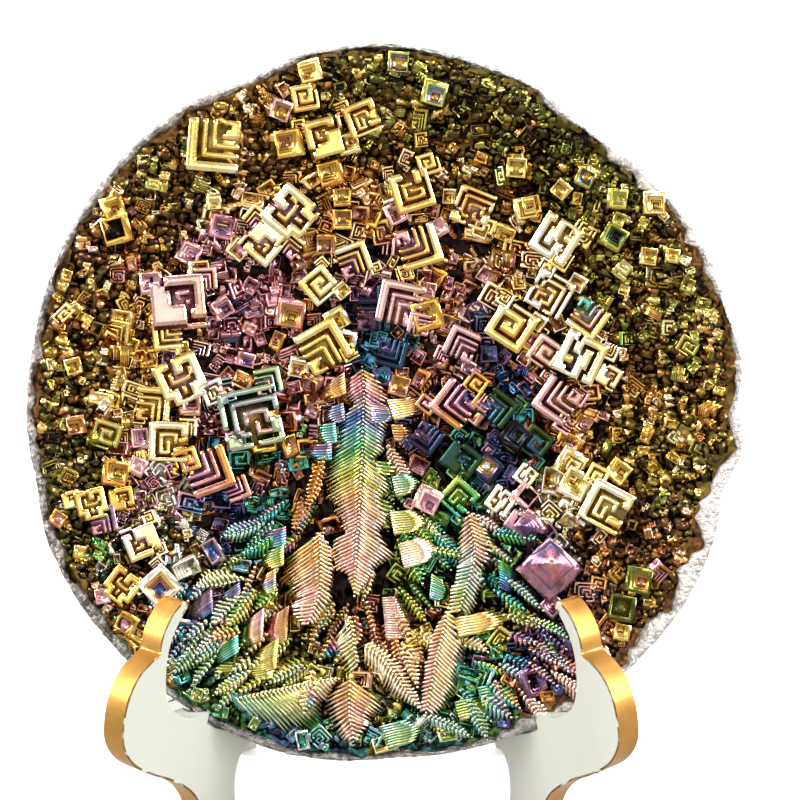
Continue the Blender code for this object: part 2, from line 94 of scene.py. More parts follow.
# How pale the lip is at these angles: nearly white on the right and at the lower right, grey on the left.
LIP_PALENESS = (
    (0, 0.6), (30, 0.6), (60, 0.5), (75, 0.3), (100, 0.1), (130, 0.2), (160, 0.05), (180, 0.0),
    (235, 0.0), (260, 0.1), (285, 0.3), (300, 0.6), (325, 0.75), (350, 0.7), (360, 0.6),
)

# The view square that the crystals below are placed in: its side, the disc's centre and a step's size.
VIEW_SIDE = 800
VIEW_DISC = (382, 405)
VIEW_STEP = 0.2083
# The main hopper crystals: middle in the view square, side, turn in degrees, form, the oxide colour of the
# frames and of the pit, and the quarter turns. Forms: F nested frames, D deep dark pit, P plain with low
# steps, R ridged pyramid, and the letters of PLANS. A pit of the colour "dark" is nearly black: painted shade
# in the hollow.
HOPPERS = (
    (214, 146, 52, -5, "L", "yellow", "gold", 2), (212, 200, 15, 5, "P", "yellow", "gold", 0),
    (117, 230, 28, 15, "D", "gold", "dark", 0), (113, 207, 22, 20, "F", "gold", "brown", 0),
    (310, 71, 22, 15, "F", "yellow", "gold", 0), (305, 98, 26, 10, "G", "yellow", "gold", 1),
    (281, 110, 20, -20, "F", "pink", "gold", 0), (325, 137, 38, 15, "H", "yellow", "gold", 1),
    (289, 142, 28, 10, "F", "gold", "brown", 0), (362, 118, 33, 22, "E", "yellow", "gold", 0),
    (330, 171, 25, 15, "F", "gold", "gold", 0), (412, 189, 40, 17, "E", "yellow", "orange", 1),
    (396, 210, 22, 25, "F", "pink", "pink", 0), (474, 206, 38, -22, "M", "cream", "rose", 0),
    (440, 225, 18, 30, "P", "pink", "pink", 0), (419, 244, 42, 17, "L", "cream", "purple", 3),
    (341, 217, 20, 0, "F", "gold", "brown", 0), (325, 241, 20, 0, "F", "brown", "brown", 0),
    (341, 195, 18, 5, "F", "gold", "gold", 0), (353, 257, 32, 20, "L", "cream", "purple", 0),
    (290, 212, 46, 50, "T", "white", "purple", 0), (262, 240, 38, -40, "H", "white", "pink", 3),
    (318, 283, 32, 40, "G", "cream", "gold", 0), (434, 93, 24, -15, "F", "lime", "gold", 0),
    (517, 166, 20, -5, "F", "yellow", "gold", 0), (526, 206, 22, 10, "F", "yellow", "gold", 0),
    (398, 62, 20, -5, "F", "lime", "gold", 0), (557, 238, 42, -32, "Z", "white", "gold", 1),
    (533, 203, 18, 12, "F", "yellow", "gold", 0), (585, 178, 18, -25, "F", "moss", "gold", 0),
    (562, 189, 17, -40, "F", "yellow", "gold", 0), (617, 199, 20, -5, "P", "lime", "lime", 0),
    (614, 237, 24, -30, "F", "moss", "dark", 0), (649, 256, 17, -8, "F", "yellow", "gold", 0),
    (672, 256, 14, -10, "P", "yellow", "gold", 0), (654, 203, 22, 0, "F", "yellow", "gold", 0),
    (177, 302, 54, 5, "H", "rose", "pink", 0), (196, 270, 22, 5, "F", "cream", "brown", 0),
    (165, 334, 30, 5, "L", "cream", "gold", 2), (192, 315, 25, 8, "F", "pink", "purple", 0),
    (218, 306, 22, 30, "F", "pink", "purple", 0), (179, 380, 46, 24, "T", "white", "rose", 0),
    (151, 404, 34, -5, "L", "cream", "gold", 0), (166, 442, 40, -2, "E", "white", "gold", 0),
    (187, 405, 22, 0, "F", "pink", "purple", 0), (249, 418, 60, 12, "M", "mint", "gold", 0),
    (233, 441, 20, 8, "P", "pink", "pink", 0), (260, 441, 25, 8, "F", "gold", "gold", 0),
    (73, 366, 16, 15, "F", "yellow", "gold", 0), (76, 425, 18, 10, "F", "orange", "orange", 0),
    (207, 472, 44, 20, "L", "brown", "dark", 3), (114, 474, 26, -10, "F", "orange", "gold", 0),
    (135, 467, 18, -25, "P", "pink", "rose", 0), (121, 500, 24, 10, "H", "gold", "gold", 0),
    (92, 504, 30, 14, "T", "yellow", "gold", 0), (72, 500, 18, 14, "H", "yellow", "orange", 0),
    (103, 520, 26, 12, "L", "purple", "pink", 0), (58, 519, 15, -32, "P", "orange", "rose", 0),
    (322, 346, 46, 30, "L", "yellow", "gold", 0), (288, 311, 30, -10, "F", "brown", "gold", 0),
    (343, 340, 25, -10, "F", "silver", "dark", 0), (373, 313, 34, 0, "L", "navy", "purple", 0),
    (392, 352, 30, -15, "L", "navy", "dark", 3), (400, 302, 44, -12, "L", "rose", "pink", 1),
    (428, 314, 30, 15, "F", "gold", "gold", 0), (513, 325, 42, -33, "G", "cream", "brown", 2),
    (463, 343, 32, -25, "L", "pink", "purple", 1), (456, 404, 40, -37, "L", "brown", "purple", 2),
    (476, 411, 24, -37, "F", "pink", "gold", 0), (478, 383, 22, -37, "G", "orange", "gold", 0),
    (427, 439, 28, -35, "L", "navy", "purple", 3), (462, 462, 36, -38, "H", "pine", "navy", 0),
    (490, 470, 26, -38, "F", "navy", "silver", 0), (500, 408, 32, -38, "L", "pine", "dark", 0),
    (516, 437, 26, -38, "F", "dark", "dark", 0), (460, 499, 32, -42, "E", "green", "lime", 0),
    (428, 501, 26, -26, "P", "rose", "purple", 0), (399, 386, 20, -15, "F", "brown", "orange", 0),
    (552, 292, 40, -30, "M", "silver", "brown", 3), (590, 318, 34, -35, "L", "cream", "moss", 3),
    (582, 357, 44, -25, "Z", "white", "purple", 3), (610, 376, 24, -30, "H", "cream", "pink", 0),
    (547, 352, 30, -35, "G", "rose", "brown", 0), (560, 400, 40, -35, "L", "pink", "brown", 2),
    (538, 443, 30, -38, "G", "pine", "brown", 0), (528, 477, 20, -38, "Z", "white", "silver", 1),
    (573, 464, 28, -30, "F", "cream", "gold", 0), (578, 486, 30, -30, "F", "cream", "gold", 0),
    (607, 507, 44, -28, "E", "cream", "yellow", 0), (620, 472, 22, -35, "F", "yellow", "gold", 0),
    (533, 342, 22, -30, "F", "gold", "pink", 0), (550, 570, 48, 45, "R", "purple", "pink", 0),
    (638, 580, 26, -12, "F", "forest", "blush", 0), (622, 608, 26, -10, "D", "forest", "moss", 0),
    (622, 632, 16, -10, "F", "yellow", "gold", 0), (160, 586, 33, 42, "F", "silver", "blue", 0),
    (141, 541, 34, 22, "H", "white", "purple", 2), (122, 586, 32, -38, "T", "gold", "orange", 0),
    (103, 596, 15, 10, "P", "pink", "pink", 0), (127, 623, 20, -30, "F", "gold", "rose", 0),
    (297, 366, 22, -10, "F", "silver", "pink", 0), (527, 497, 22, -40, "D", "pink", "dark", 0),
    (503, 503, 26, -35, "Z", "silver", "gold", 3), (520, 526, 24, -35, "H", "purple", "silver", 0),
    (531, 530, 30, 45, "R", "purple", "purple", 0),
)

# Film thickness of each oxide colour, as a place on the ramp of the crystals' material, and how much the
# colour is paled by a thin, silvery film, or below 0 how much it is darkened.
OXIDES = {
    "silver": (0.03, 0.35), "cream": (0.12, 0.12), "yellow": (0.16, 0.08), "gold": (0.20, 0.0),
    "orange": (0.27, 0.0), "brown": (0.32, 0.0), "pink": (0.40, 0.25), "purple": (0.50, 0.05),
    "blue": (0.60, 0.0), "teal": (0.70, 0.0), "green": (0.79, 0.0), "lime": (0.90, 0.0), "dark": (0.55, -1.0),
    "mint": (0.74, 0.5), "rose": (0.38, 0.35), "moss": (0.92, -0.35), "white": (0.10, 0.2),
    "pine": (0.74, -0.87), "navy": (0.59, -0.85), "forest": (0.86, -0.75), "blush": (1.17, 0.2),
}

# Where each oxide colour lies in the crust: place across and up, and a colour.
ZONES = (
    (-14, 70, "lime"), (-2, 72, "lime"), (14, 66, "lime"), (29, 62, "lime"), (37, 52, "lime"),
    (-24, 66, "gold"), (54, 40, "lime"), (64, 28, "lime"), (68, 14, "lime"), (62, -4, "gold"),
    (66, -16, "lime"), (56, 30, "yellow"), (53, -8, "gold"), (46, 22, "lime"), (-34, 57, "gold"),
    (-43, 47, "lime"), (-54, 43, "gold"), (-62, 24, "yellow"), (-58, 32, "brown"), (-65, 12, "yellow"),
    (-57, 4, "yellow"), (-66, -6, "lime"), (-60, -12, "gold"), (-48, 30, "gold"), (-38, 36, "pink"),
    (-26, 49, "gold"), (-12, 56, "yellow"), (-8, 62, "lime"), (-7, 47, "gold"), (8, 51, "gold"),
    (22, 46, "gold"), (32, 36, "gold"), (38, 44, "lime"), (-14, 36, "orange"), (2, 38, "gold"),
    (14, 28, "brown"), (28, 27, "gold"), (36, 18, "orange"), (0, 24, "pink"), (-6, 15, "blue"),
    (-16, 24, "pink"), (-28, 22, "pink"), (-36, 10, "pink"), (-24, 8, "brown"), (-16, 2, "brown"),
    (-28, -4, "brown"), (-40, -4, "pink"), (-34, -14, "brown"), (-44, -14, "pink"), (-22, -14, "teal"),
    (-30, -18, "dark"), (-14, -16, "orange"), (10, 12, "brown"), (22, 14, "purple"), (16, 2, "brown"),
    (26, -2, "dark"), (12, -8, "brown"), (14, -12, "dark"), (24, -10, "dark"), (20, -14, "purple"),
    (30, -10, "teal"), (36, 6, "brown"), (40, -4, "orange"), (34, -18, "silver"), (36, -30, "silver"),
    (46, 8, "gold"), (46, -18, "gold"), (50, -30, "orange"), (60, -30, "brown"), (46, -42, "brown"),
    (56, -42, "gold"), (38, -46, "dark"), (37, -56, "brown"), (29, -60, "brown"), (20, -68, "green"),
    (8, -69, "teal"), (-8, -70, "teal"), (-17, -69, "blue"), (-28, -66, "teal"), (-56, -18, "pink"),
    (-64, -22, "silver"), (-50, -24, "silver"), (-44, -30, "silver"), (-62, -32, "gold"),
    (-57, -41, "orange"), (-48, -49, "gold"), (-48, -36, "pink"), (-41, -42, "blue"), (-35, -43, "blue"),
    (-40, -50, "teal"), (-34, -54, "green"), (-26, -55, "lime"), (-25, -47, "brown"), (-30, -62, "green"),
    (-20, -64, "teal"), (-24, -28, "teal"), (-22, -34, "green"), (-26, -38, "lime"), (-32, -26, "purple"),
    (6, -20, "green"), (4, -28, "lime"), (8, -36, "green"), (12, -30, "teal"), (21, -33, "green"),
    (24, -38, "teal"), (24, -46, "lime"), (28, -52, "purple"), (22, -58, "teal"), (16, -66, "teal"),
    (-2, -66, "lime"), (0, -48, "brown"), (-66, -13, "moss"), (-56, -30, "mint"), (-62, -28, "moss"),
    (-52, -33, "silver"), (58, -14, "moss"), (64, -16, "yellow"), (66, -20, "moss"), (4, -56, "cream"),
    (-12, -60, "cream"), (10, -46, "cream"), (-14, -50, "lime"), (-16, -30, "orange"),
)
ZONE_SPREAD = 4.5
# What a film adds when its colours come round again past the end of the ramp.
SECOND_ORDER = 0.79

# Where the crust is darker, below 0, or paler, above 0, than elsewhere: place across and up, and how much.
SHADES = (
    (-14, 72, -0.4), (-54, -8, 0.8), (-50, -22, 0.5), (-38, 42, 0.25), (-21, 58, 0.2), (-2, 28, 0.3),
    (28, 26, 0.5), (-38, 8, 0.45), (4, 66, -0.5), (16, 64, -0.6), (28, 58, -0.7), (36, 52, -0.7),
    (-44, 50, -0.4), (-10, 57, 0.5), (-22, 40, 0.3), (-56, 32, -0.3), (54, 32, 0.0), (68, 14, -0.3),
    (66, 28, -0.3), (46, 46, -0.2), (-66, -6, -0.3), (-58, 2, 0.3), (-46, 10, 0.2), (-30, 14, -0.1),
    (-18, 20, 0.1), (-35, -14, -0.8), (-24, -12, -0.45), (-44, -18, -0.5), (-28, 2, -0.3), (-5, 15, -0.6),
    (8, 22, 0.2), (20, 15, -0.5), (12, -6, -1.0), (22, -8, -1.0), (33, -8, -0.8), (28, 2, -0.6),
    (30, -20, -0.2), (36, -22, 0.4), (38, -32, 0.2), (32, -44, -0.7), (38, -50, -0.5), (44, 2, -0.2),
    (46, -12, 0.15), (54, -12, -0.1), (52, -32, -0.2), (60, -40, -0.1), (48, -46, -0.4), (-66, -16, -0.6),
    (-52, -27, 0.75), (-58, -20, 0.2), (-42, -28, -0.1), (-34, -24, -0.7), (-28, -22, -0.6),
    (-48, -40, 0.1), (-38, -40, 0.4), (-34, -52, 0.3), (-26, -50, -0.2), (-24, -66, 0.5), (-6, -68, 0.2),
    (8, -68, 0.4), (20, -66, 0.3), (12, -56, 0.3), (0, -42, -0.7), (-8, -50, 0.0), (2, -52, -0.1),
    (6, -32, -0.3), (10, -24, -0.65), (20, -30, 0.1), (26, -38, -0.4), (-18, -38, -0.3), (-20, -26, -0.5),
    (14, -44, 0.2),
)
SHADE_SPREAD = 5.0
# How soon the shades fade away from their anchors.
SHADE_FADING = 0.3


# ---------------------------------------------------------------------------------------------------------
# Meshes from numbered squares and boxes, with the oxide film kept for each face.

class Facets:
    """Gathers four-sided faces, each with its place on the oxide ramp and its paleness, which below 0 is
    partly painted shade.
    """

    def __init__(self):
        self.points = []
        self.faces = []
        self.film = []
        self.pale = []
        self.count = 0

    def add(self, matrix, points, faces, film, pale=0.0):
        placed = np.asarray(points, float) @ matrix[:3, :3].T + matrix[:3, 3]
        faces = np.asarray(faces, int)
        self.points.append(placed)
        self.faces.append(faces + self.count)
        self.film.append(np.broadcast_to(np.asarray(film, float), (len(faces),)))
        self.pale.append(np.broadcast_to(np.asarray(pale, float), (len(faces),)))
        self.count += len(placed)

    def piece(self, name, material):
        """The gathered faces as one object, in metres in the world."""
        points = np.concatenate(self.points)
        faces = np.concatenate(self.faces)
        world = np.array(DISC_FRAME)
        points = points @ world[:3, :3].T + world[:3, 3]
        mesh = bpy.data.meshes.new(name)
        mesh.vertices.add(len(points))
        mesh.vertices.foreach_set("co", points.astype(np.float32).ravel())
        mesh.loops.add(faces.size)
        mesh.loops.foreach_set("vertex_index", faces.astype(np.int32).ravel())
        mesh.polygons.add(len(faces))
        mesh.polygons.foreach_set("loop_start", np.arange(0, faces.size, 4, dtype=np.int32))
        mesh.update(calc_edges=True)
        mesh.validate()
        for key, values in (("film", self.film), ("pale", self.pale)):
            layer = mesh.attributes.new(key, "FLOAT", "FACE")
            layer.data.foreach_set("value", np.concatenate(values).astype(np.float32))
        mesh.materials.append(material)
        return new_object(name, mesh)


def new_object(name, data):
    """An object in the scene, with this mesh, light or camera."""
    made = bpy.data.objects.new(name, data)
    bpy.context.scene.collection.objects.link(made)
    return made


def finished(built, name):
    """The mesh of a bmesh, which is freed."""
    mesh = bpy.data.meshes.new(name)
    built.to_mesh(mesh)
    built.free()
    return mesh


def on_circle(radius, angle):
    """The place at a radius and an angle, in degrees."""
    turn = math.radians(angle)
    return radius * math.cos(turn), radius * math.sin(turn)


def disc_frame():
    """The matrix that takes the geode's own frame, in millimetres, to the world, in metres."""
    upright = math.radians(90) - DISC_LEAN
    return Matrix.Scale(MM, 4) @ Matrix.Translation(DISC_CENTRE) @ Euler((upright, 0, 0)).to_matrix().to_4x4()


DISC_FRAME = disc_frame()
RING = np.array([(0, 1, 5, 4), (1, 2, 6, 5), (2, 3, 7, 6), (3, 0, 4, 7)])
CAP = np.array([(0, 1, 2, 3)])
CORNERS = np.array([(-1, -1), (1, -1), (1, 1), (-1, 1)], float)
BOX_FACES = np.array([(0, 3, 2, 1), (4, 5, 6, 7), (0, 1, 5, 4), (1, 2, 6, 5), (2, 3, 7, 6), (3, 0, 4, 7)])


def nest(levels):
    """Points and faces through squares, each a half side, a height and its middle, closed at both ends."""
    points = []
    for half, height, middle_x, middle_y in levels:
        points += [(middle_x + x * half, middle_y + y * half, height) for x, y in CORNERS]
    top = len(levels) - 1
    faces = [CAP[:, ::-1]] + [RING + 4 * level for level in range(top)] + [CAP + 4 * top]
    return np.array(points), np.concatenate(faces)


def add_nest(gather, matrix, levels, rings, floor, chance):
    """Adds a nest of squares, with an oxide for each ring between two of them and for the floor."""
    points, faces = nest(levels)
    film = [rings[0][0]]
    pale = [rings[0][1]]
    for ring in rings:
        film += [ring[0] + chance.gauss(0, 0.012) for _ in range(4)]
        pale += [ring[1]] * 4
    gather.add(matrix, points, faces, film + [floor[0]], pale + [floor[1]])


def block(x0, x1, y0, y1, z0, z1):
    return np.array([(x0, y0, z0), (x1, y0, z0), (x1, y1, z0), (x0, y1, z0),
                     (x0, y0, z1), (x1, y0, z1), (x1, y1, z1), (x0, y1, z1)])


def angle_list(pairs, angle):
    """The value at an angle, in degrees, from a list of angles and values."""
    angles, values = zip(*pairs)
    return float(np.interp(angle % 360, angles, values))


def rim_radius(angle):
    return DISC_RADIUS + angle_list(RIM_OFFSETS, angle)


def crust_depth(distance):
    share = min(distance, CRUST_REACH) / CRUST_REACH
    return -(CRUST_EDGE_DEPTH + (CRUST_MIDDLE_DEPTH - CRUST_EDGE_DEPTH) * (1 - share ** 2.5))


def wall_slope(distance):
    """How steeply the crust rises towards the rim, as an angle."""
    step = 0.5
    return math.atan((crust_depth(distance + step) - crust_depth(distance)) / step)


def about(axis, angle):
    return Matrix.Rotation(angle, 4, axis)


def standing(across, up, top, turn, lean, toward=None):
    """The frame of a crystal whose top is at this place, turned about W and leaning to the middle."""
    outward = math.atan2(up, across) if toward is None else toward
    tilt = about("Z", outward) @ about("Y", -lean) @ about("Z", -outward)
    return np.array(Matrix.Translation((across, up, top)) @ tilt @ about("Z", turn))


def oxide(name, chance, spread=0.015):
    film, pale = OXIDES[name]
    return film + chance.gauss(0, spread), pale


def nearness(across, up, anchors, spread):
    """How much each anchor counts here."""
    return [math.exp(-((across - x) ** 2 + (up - y) ** 2) / (2 * spread ** 2)) for x, y, *_ in anchors]


def zone_oxide(across, up, chance):
    """The oxide colour of a crystal here: one of the zones' colours, the nearer the likelier."""
    return chance.choices([name for *_, name in ZONES], nearness(across, up, ZONES, ZONE_SPREAD))[0]


def shade(across, up):
    """How much the film is paled, above 0, or darkened, below 0, round this place."""
    weights = nearness(across, up, SHADES, SHADE_SPREAD)
    return sum(weight * value for weight, (*_, value) in zip(weights, SHADES)) / (sum(weights) + SHADE_FADING)


# ---------------------------------------------------------------------------------------------------------
# Hopper crystals.

# The ledges that a cube grew by: their height, how deep they go, how far each strays and draws in, as shares
# of the cube's half side, and the size of its tread. Then the foot's half side as a share of the cube's, and
# how high the plain band at the top is.
WALL_LEDGE = 0.5
LEDGES_DEPTH = 3.4
LEDGE_STRAYING = 0.03
LEDGE_INSET = 0.045
LEDGE_TREAD = 0.07
LEDGE_RISE = 0.1
FOOT_SHARE = 0.96
TOP_BAND = 0.2
# The paleness of the walls, what their foot takes from it, that of the ledges' treads and of the risers, and
# how much thicker the film is on a wall and, at most, on a ledge's side. The four paleness values are painted
# shade: walls, treads and risers are darker than the tops, and walls darker still towards their foot.
WALL_SHADE = -0.35
FOOT_SHADE = -0.3
TREAD_SHADE = -0.1
RISER_SHADE = -0.5
WALL_FILM = 0.04
WALL_FILM_SPREAD = 0.10


def outer_walls(half, height, rim, chance):
    """The outside of a cube from its foot to its top edge, with its ledges, and their oxides."""
    levels = [(half * FOOT_SHARE, -height, 0.0, 0.0)]
    rings = []
    depth = min(height, LEDGES_DEPTH)
    ledges = max(1, int(depth / WALL_LEDGE))
    for ledge in range(ledges, 0, -1):
        low = -depth * ledge / (ledges + 0.5)
        shift = LEDGE_STRAYING * half * chance.uniform(-1, 1)
        inset = half * (1 - LEDGE_INSET * chance.random())
        levels += [(inset, low - 0.01, shift, shift), (inset - LEDGE_TREAD, low + LEDGE_RISE, shift, shift)]
        film = rim[0] + chance.uniform(0.0, WALL_FILM_SPREAD)
        # Painted shade: walls darker towards the foot, and treads a little darker than the top.
        rings += [(film, WALL_SHADE + FOOT_SHADE * ledge / ledges), (rim[0], TREAD_SHADE)]
    rings += [(rim[0] + WALL_FILM, WALL_SHADE), (rim[0], rim[1])]
    return levels + [(half, -TOP_BAND, 0.0, 0.0), (half, 0.0, 0.0, 0.0)], rings


def blend(first, second, share):
    return tuple(a + (b - a) * share for a, b in zip(first, second))


# The first frame's width, as a share of the side, if there are more than two, and the last one's half side.
FIRST_TREAD = 0.15
SMALLEST_FRAME = 0.35
# How far the frames may be pushed to a corner, how much their widths and drops vary, and their risers.
FRAME_BIAS = (0.15, 0.75)
FRAME_SPREAD = (0.7, 1.3)
RISER_LEAN = 0.35
RISER_FILM = 0.05
# The forms made of frames: a frame's width and its drop, each in millimetres and as a share of the side, how
# much of the width is level, and how many frames there are, if not as many as fit.
FRAMES = {
    "F": ((0.5, 0.02), (0.42, 0.0), 0.6, None),
    "D": ((0.0, 0.2), (0.0, 0.34), 0.7, 1),
    "P": ((0.0, 0.2), (0.12, 0.0), 0.8, 2),
    "R": ((0.55, 0.0), (-0.42, 0.0), 0.6, None),
}


def frames_crystal(gather, matrix, side, height, chance, rim, pit, pitch, drop, ledge, steps=None):
    """A cube with square frames, each lower than the one round it and pushed to one corner of it."""
    half = side / 2
    levels, rings = outer_walls(half, height, rim, chance)
    steps = steps or max(1, int((half - SMALLEST_FRAME) / pitch))
    bias_x = chance.choice((-1, 1)) * chance.uniform(*FRAME_BIAS)
    bias_y = chance.choice((-1, 1)) * chance.uniform(*FRAME_BIAS)
    inner, top, middle_x, middle_y = half, 0.0, 0.0, 0.0
    for step in range(steps):
        first = step == 0 and steps > 2
        tread = FIRST_TREAD * side if first else pitch * ledge * chance.uniform(*FRAME_SPREAD)
        riser = pitch * (1 - ledge) * RISER_LEAN
        # Each frame further in takes more of the pit's colour and its painted shade.
        oxide_here = blend(rim, pit, step / steps)
        inner -= tread
        middle_x += bias_x * tread
        middle_y += bias_y * tread
        levels.append((inner, top, middle_x, middle_y))
        rings.append(oxide_here)
        inner -= riser
        top -= drop * chance.uniform(*FRAME_SPREAD)
        levels.append((inner, top, middle_x, middle_y))
        rings.append((oxide_here[0] + RISER_FILM, RISER_SHADE))
        if inner < SMALLEST_FRAME:
            break
    add_nest(gather, matrix, levels, rings, pit, chance)


# The tops of the winding hoppers, seen from above: 0 is the highest plate, 1 to 3 are lower terraces and a
# full stop is an open channel. H hook, G spiral, L nested corners, E open frames, Z two hooks, T twin plates
# and M nested frames.
PLANS = {
   
    "H": ("...00000000", "00.00000000", "000......00", "0000.111.00", "0000.1...00", "0000...2.00",
          "0000000..00", "0000000.000", "0000000.000", "0000000....", ".......0000"),
    "G": ("00000000000", "00000000000", "00.......00", "00.11111.00", "00.11111.00", "00.11.11.00",
          "00.11....00", "00.11111100", "00.11111100", "00.........", "00000000..."),
    "L": ("00000000000", "00000000000", ".........00", "11111111.00", ".......1.00", "222222.1.00",
          ".....2.1.00", "3333.2.1.00", "333..2.1.00", "33...2.1.00", "3333.2.1.00"),
    "E": ("00000000000", "00000000000", "00.......00", "00.11111.00", "00.1...1...", "00.1.2.1...",
          "00.1.2.....", "00.1.2.1111", "00.111.1111", "00.........", "00000000000"),
    "Z": ("00000000000", "00000000000", "00.......00", "00.00000...", "00.00000000", "00...000000",
          "00000.....0", "..000.11..0", "00....11.00", "00000000000", "00000000000"),
    "T": ("0000.000000", "0000.000000", "00...00..00", "00.1.00.100", "00.1....100", "00.11111.00",
          "00.......00", "0000.1.0000", "0000.1.0000", "..00...00..", "..00000000."),
    "M": ("00000000000", "00.........", "0.111111111", "0.1.......1", "0.1.22222.1", "0.1.2...2..",
          "0.1.2.3.200", "..1...3..00", "00.11.33300", "000.......0", "00000.00000"),
}
# The channels' depth and a terrace's drop are shares of the side. The film drifts by this much over a top.
# The channels' darkness is painted shade, and so is the paleness that the lower terraces lose.
CHANNEL_DEPTH = 0.17
CHANNEL_SHADE = -0.75
TERRACE_DROP = 0.04
PLATE_DRIFT = 0.12
TERRACES = 4
TERRACE_PALENESS = 0.5
# The solid cube under such a top is a little narrower, and reaches this much up into it.
CORE_SHARE = 0.97
CORE_OVERLAP = 0.1


def core(gather, matrix, half, height, depth, pit, chance):
    """The solid cube under a winding top."""
    # The core's walls and floor take the walls' and the channels' painted shade.
    levels, rings = outer_walls(half * CORE_SHARE, height - depth, (pit[0], WALL_SHADE), chance)
    levels = [(h, z - depth, x, y) for h, z, x, y in levels]
    add_nest(gather, matrix, levels, rings, (pit[0], CHANNEL_SHADE), chance)


def winding_crystal(gather, matrix, side, height, chance, rim, pit, plan):
    """A cube whose top is cut into plates and terraces by narrow channels, after a plan."""
    rows = PLANS[plan]
    count = len(rows)
    cell = side / count
    foot = -CHANNEL_DEPTH * side
    core(gather, matrix, side / 2, height, -foot - CORE_OVERLAP, pit, chance)
    drift = PLATE_DRIFT * chance.choice((-1, 1))
    index = {}
    points, faces, film, pale = [], [], [], []

    def height_at(row, column):
        if 0 <= row < count and 0 <= column < count and rows[row][column] != ".":
            return -int(rows[row][column]) * TERRACE_DROP * side
        return foot

    def corner(place, level):
        if (place, level) not in index:
            index[place, level] = len(points)
            points.append((place[0] * cell - side / 2, side / 2 - place[1] * cell, level))
        return index[place, level]

    for row, column in itertools.product(range(count), repeat=2):
        top = height_at(row, column)
        if top == foot:
            continue
        # Lower terraces lose paleness towards half the rim's: painted shade.
        lowest = (pit[0], rim[1] * TERRACE_PALENESS)
        film_here, pale_here = blend(rim, lowest, int(rows[row][column]) / TERRACES)
        film_here += drift * ((row + column) / (2 * count) - 0.5)
        ring = ((column, row + 1), (column + 1, row + 1), (column + 1, row), (column, row))
        faces.append([corner(place, top) for place in ring])
        film.append(film_here)
        pale.append(pale_here)
        beside = ((row + 1, column), (row, column + 1), (row - 1, column), (row, column - 1))
        for edge in range(4):
            if height_at(*beside[edge]) < top:
                start, end = ring[edge], ring[(edge + 1) % 4]
                faces.append([corner(start, foot), corner(end, foot), corner(end, top), corner(start, top)])
                film.append(film_here + WALL_FILM)
                # The plates' walls take the walls' painted shade.
                pale.append(WALL_SHADE)
    gather.add(matrix, points, faces, film, pale)


def grow(gather, form, matrix, side, height, chance, rim, pit):
    """A crystal of a form from the list of hoppers."""
    if form in PLANS:
        winding_crystal(gather, matrix, side, height, chance, rim, pit, form)
        return
    (width, width_share), (drop, drop_share), ledge, steps = FRAMES[form]
    frames_crystal(gather, matrix, side, height, chance, rim, pit, width + width_share * side,
                   drop + drop_share * side, ledge, steps)


# How much of the crust's own slope a hopper follows, how much more it may lean, and how far down it goes.
LEAN_SHARE = 0.35
LEAN_SPREAD = 4
HOPPER_FOOT = 0.4
# How much darker a pit is painted than its oxide: painted shade in the hollow.
PIT_PAINTED_SHADE = 0.45
# The crystals at the corners of a hopper: from what side and up to what distance there are any, their own
# side as a share of the hopper's, their places, how much lower they are and how far down they go.
SIDE_WITH_COMPANIONS = 5.4
REACH_OF_COMPANIONS = 60.0
COMPANION_SIDES = (0.34, 0.55)
COMPANION_OVERHANG = 0.2
COMPANION_PLACES = (-1, 1.6)
COMPANION_DROPS = (0.4, 1.6)
COMPANION_HEIGHT = 3.0
COMPANION_PALENESS = 0.7
COMPANION_FORMS = "FFGLEM"


def make_companions(gather, matrix, side, chance, rim, pit):
    """One or two smaller crystals grown at the corners of a hopper."""
    for _ in range(chance.choice((1, 2, 2))):
        size = side * chance.uniform(*COMPANION_SIDES)
        place = []
        for _ in range(2):
            way = chance.choice((-1, 1))
            place.append(way * (0.5 * side - COMPANION_OVERHANG * size * chance.uniform(*COMPANION_PLACES)))
        shift = np.array(Matrix.Translation((*place, -chance.uniform(*COMPANION_DROPS))))
        grow(gather, chance.choice(COMPANION_FORMS), matrix @ shift, size, COMPANION_HEIGHT, chance,
             (rim[0] + chance.gauss(0, 0.03), rim[1] * COMPANION_PALENESS), pit)


def placed(column, row, size):
    """A main crystal's middle and side on the disc, from its place in the view square."""
    return (column - VIEW_DISC[0]) * VIEW_STEP, (VIEW_DISC[1] - row) * VIEW_STEP, size * VIEW_STEP


def make_hoppers(gather):
    chance = random.Random(SEED)
    detail = random.Random(SEED + 1)
    for column, row, size, turn, form, rim, pit, opening in HOPPERS:
        across, up, side = placed(column, row, size)
        distance = math.hypot(across, up)
        ground = crust_depth(distance)
        rise = HOPPER_RISE + HOPPER_RISE_SHARE * side + chance.uniform(0.0, HOPPER_RISE_SPREAD)
        top = min(ground + rise, HIGHEST_CRYSTAL)
        lean = LEAN_SHARE * wall_slope(distance) + math.radians(chance.uniform(-LEAN_SPREAD, LEAN_SPREAD))
        matrix = standing(across, up, top, math.radians(turn + 90 * opening), lean)
        rim = oxide(rim, detail)
        pit = oxide(pit, detail)
        # The pit is painted darker than its oxide: painted shade in the hollow.
        pit = (pit[0], pit[1] - PIT_PAINTED_SHADE)
        grow(gather, form, matrix, side, top - ground + HOPPER_FOOT * side, detail, rim, pit)
        if side > SIDE_WITH_COMPANIONS and distance < REACH_OF_COMPANIONS:
            make_companions(gather, matrix, side, detail, rim, pit)


# ---------------------------------------------------------------------------------------------------------
# Small crystals.

FILL_TRIES = 10500
FILL_REACH = 72.0
# The small crystals' sides: the least and the most, and by what share the most has shrunk at the last try.
FILL_SIDES = (1.3, 5.6)
FILL_SHRINKING = 0.75
FILL_SIZES = (0.6, 1.0)
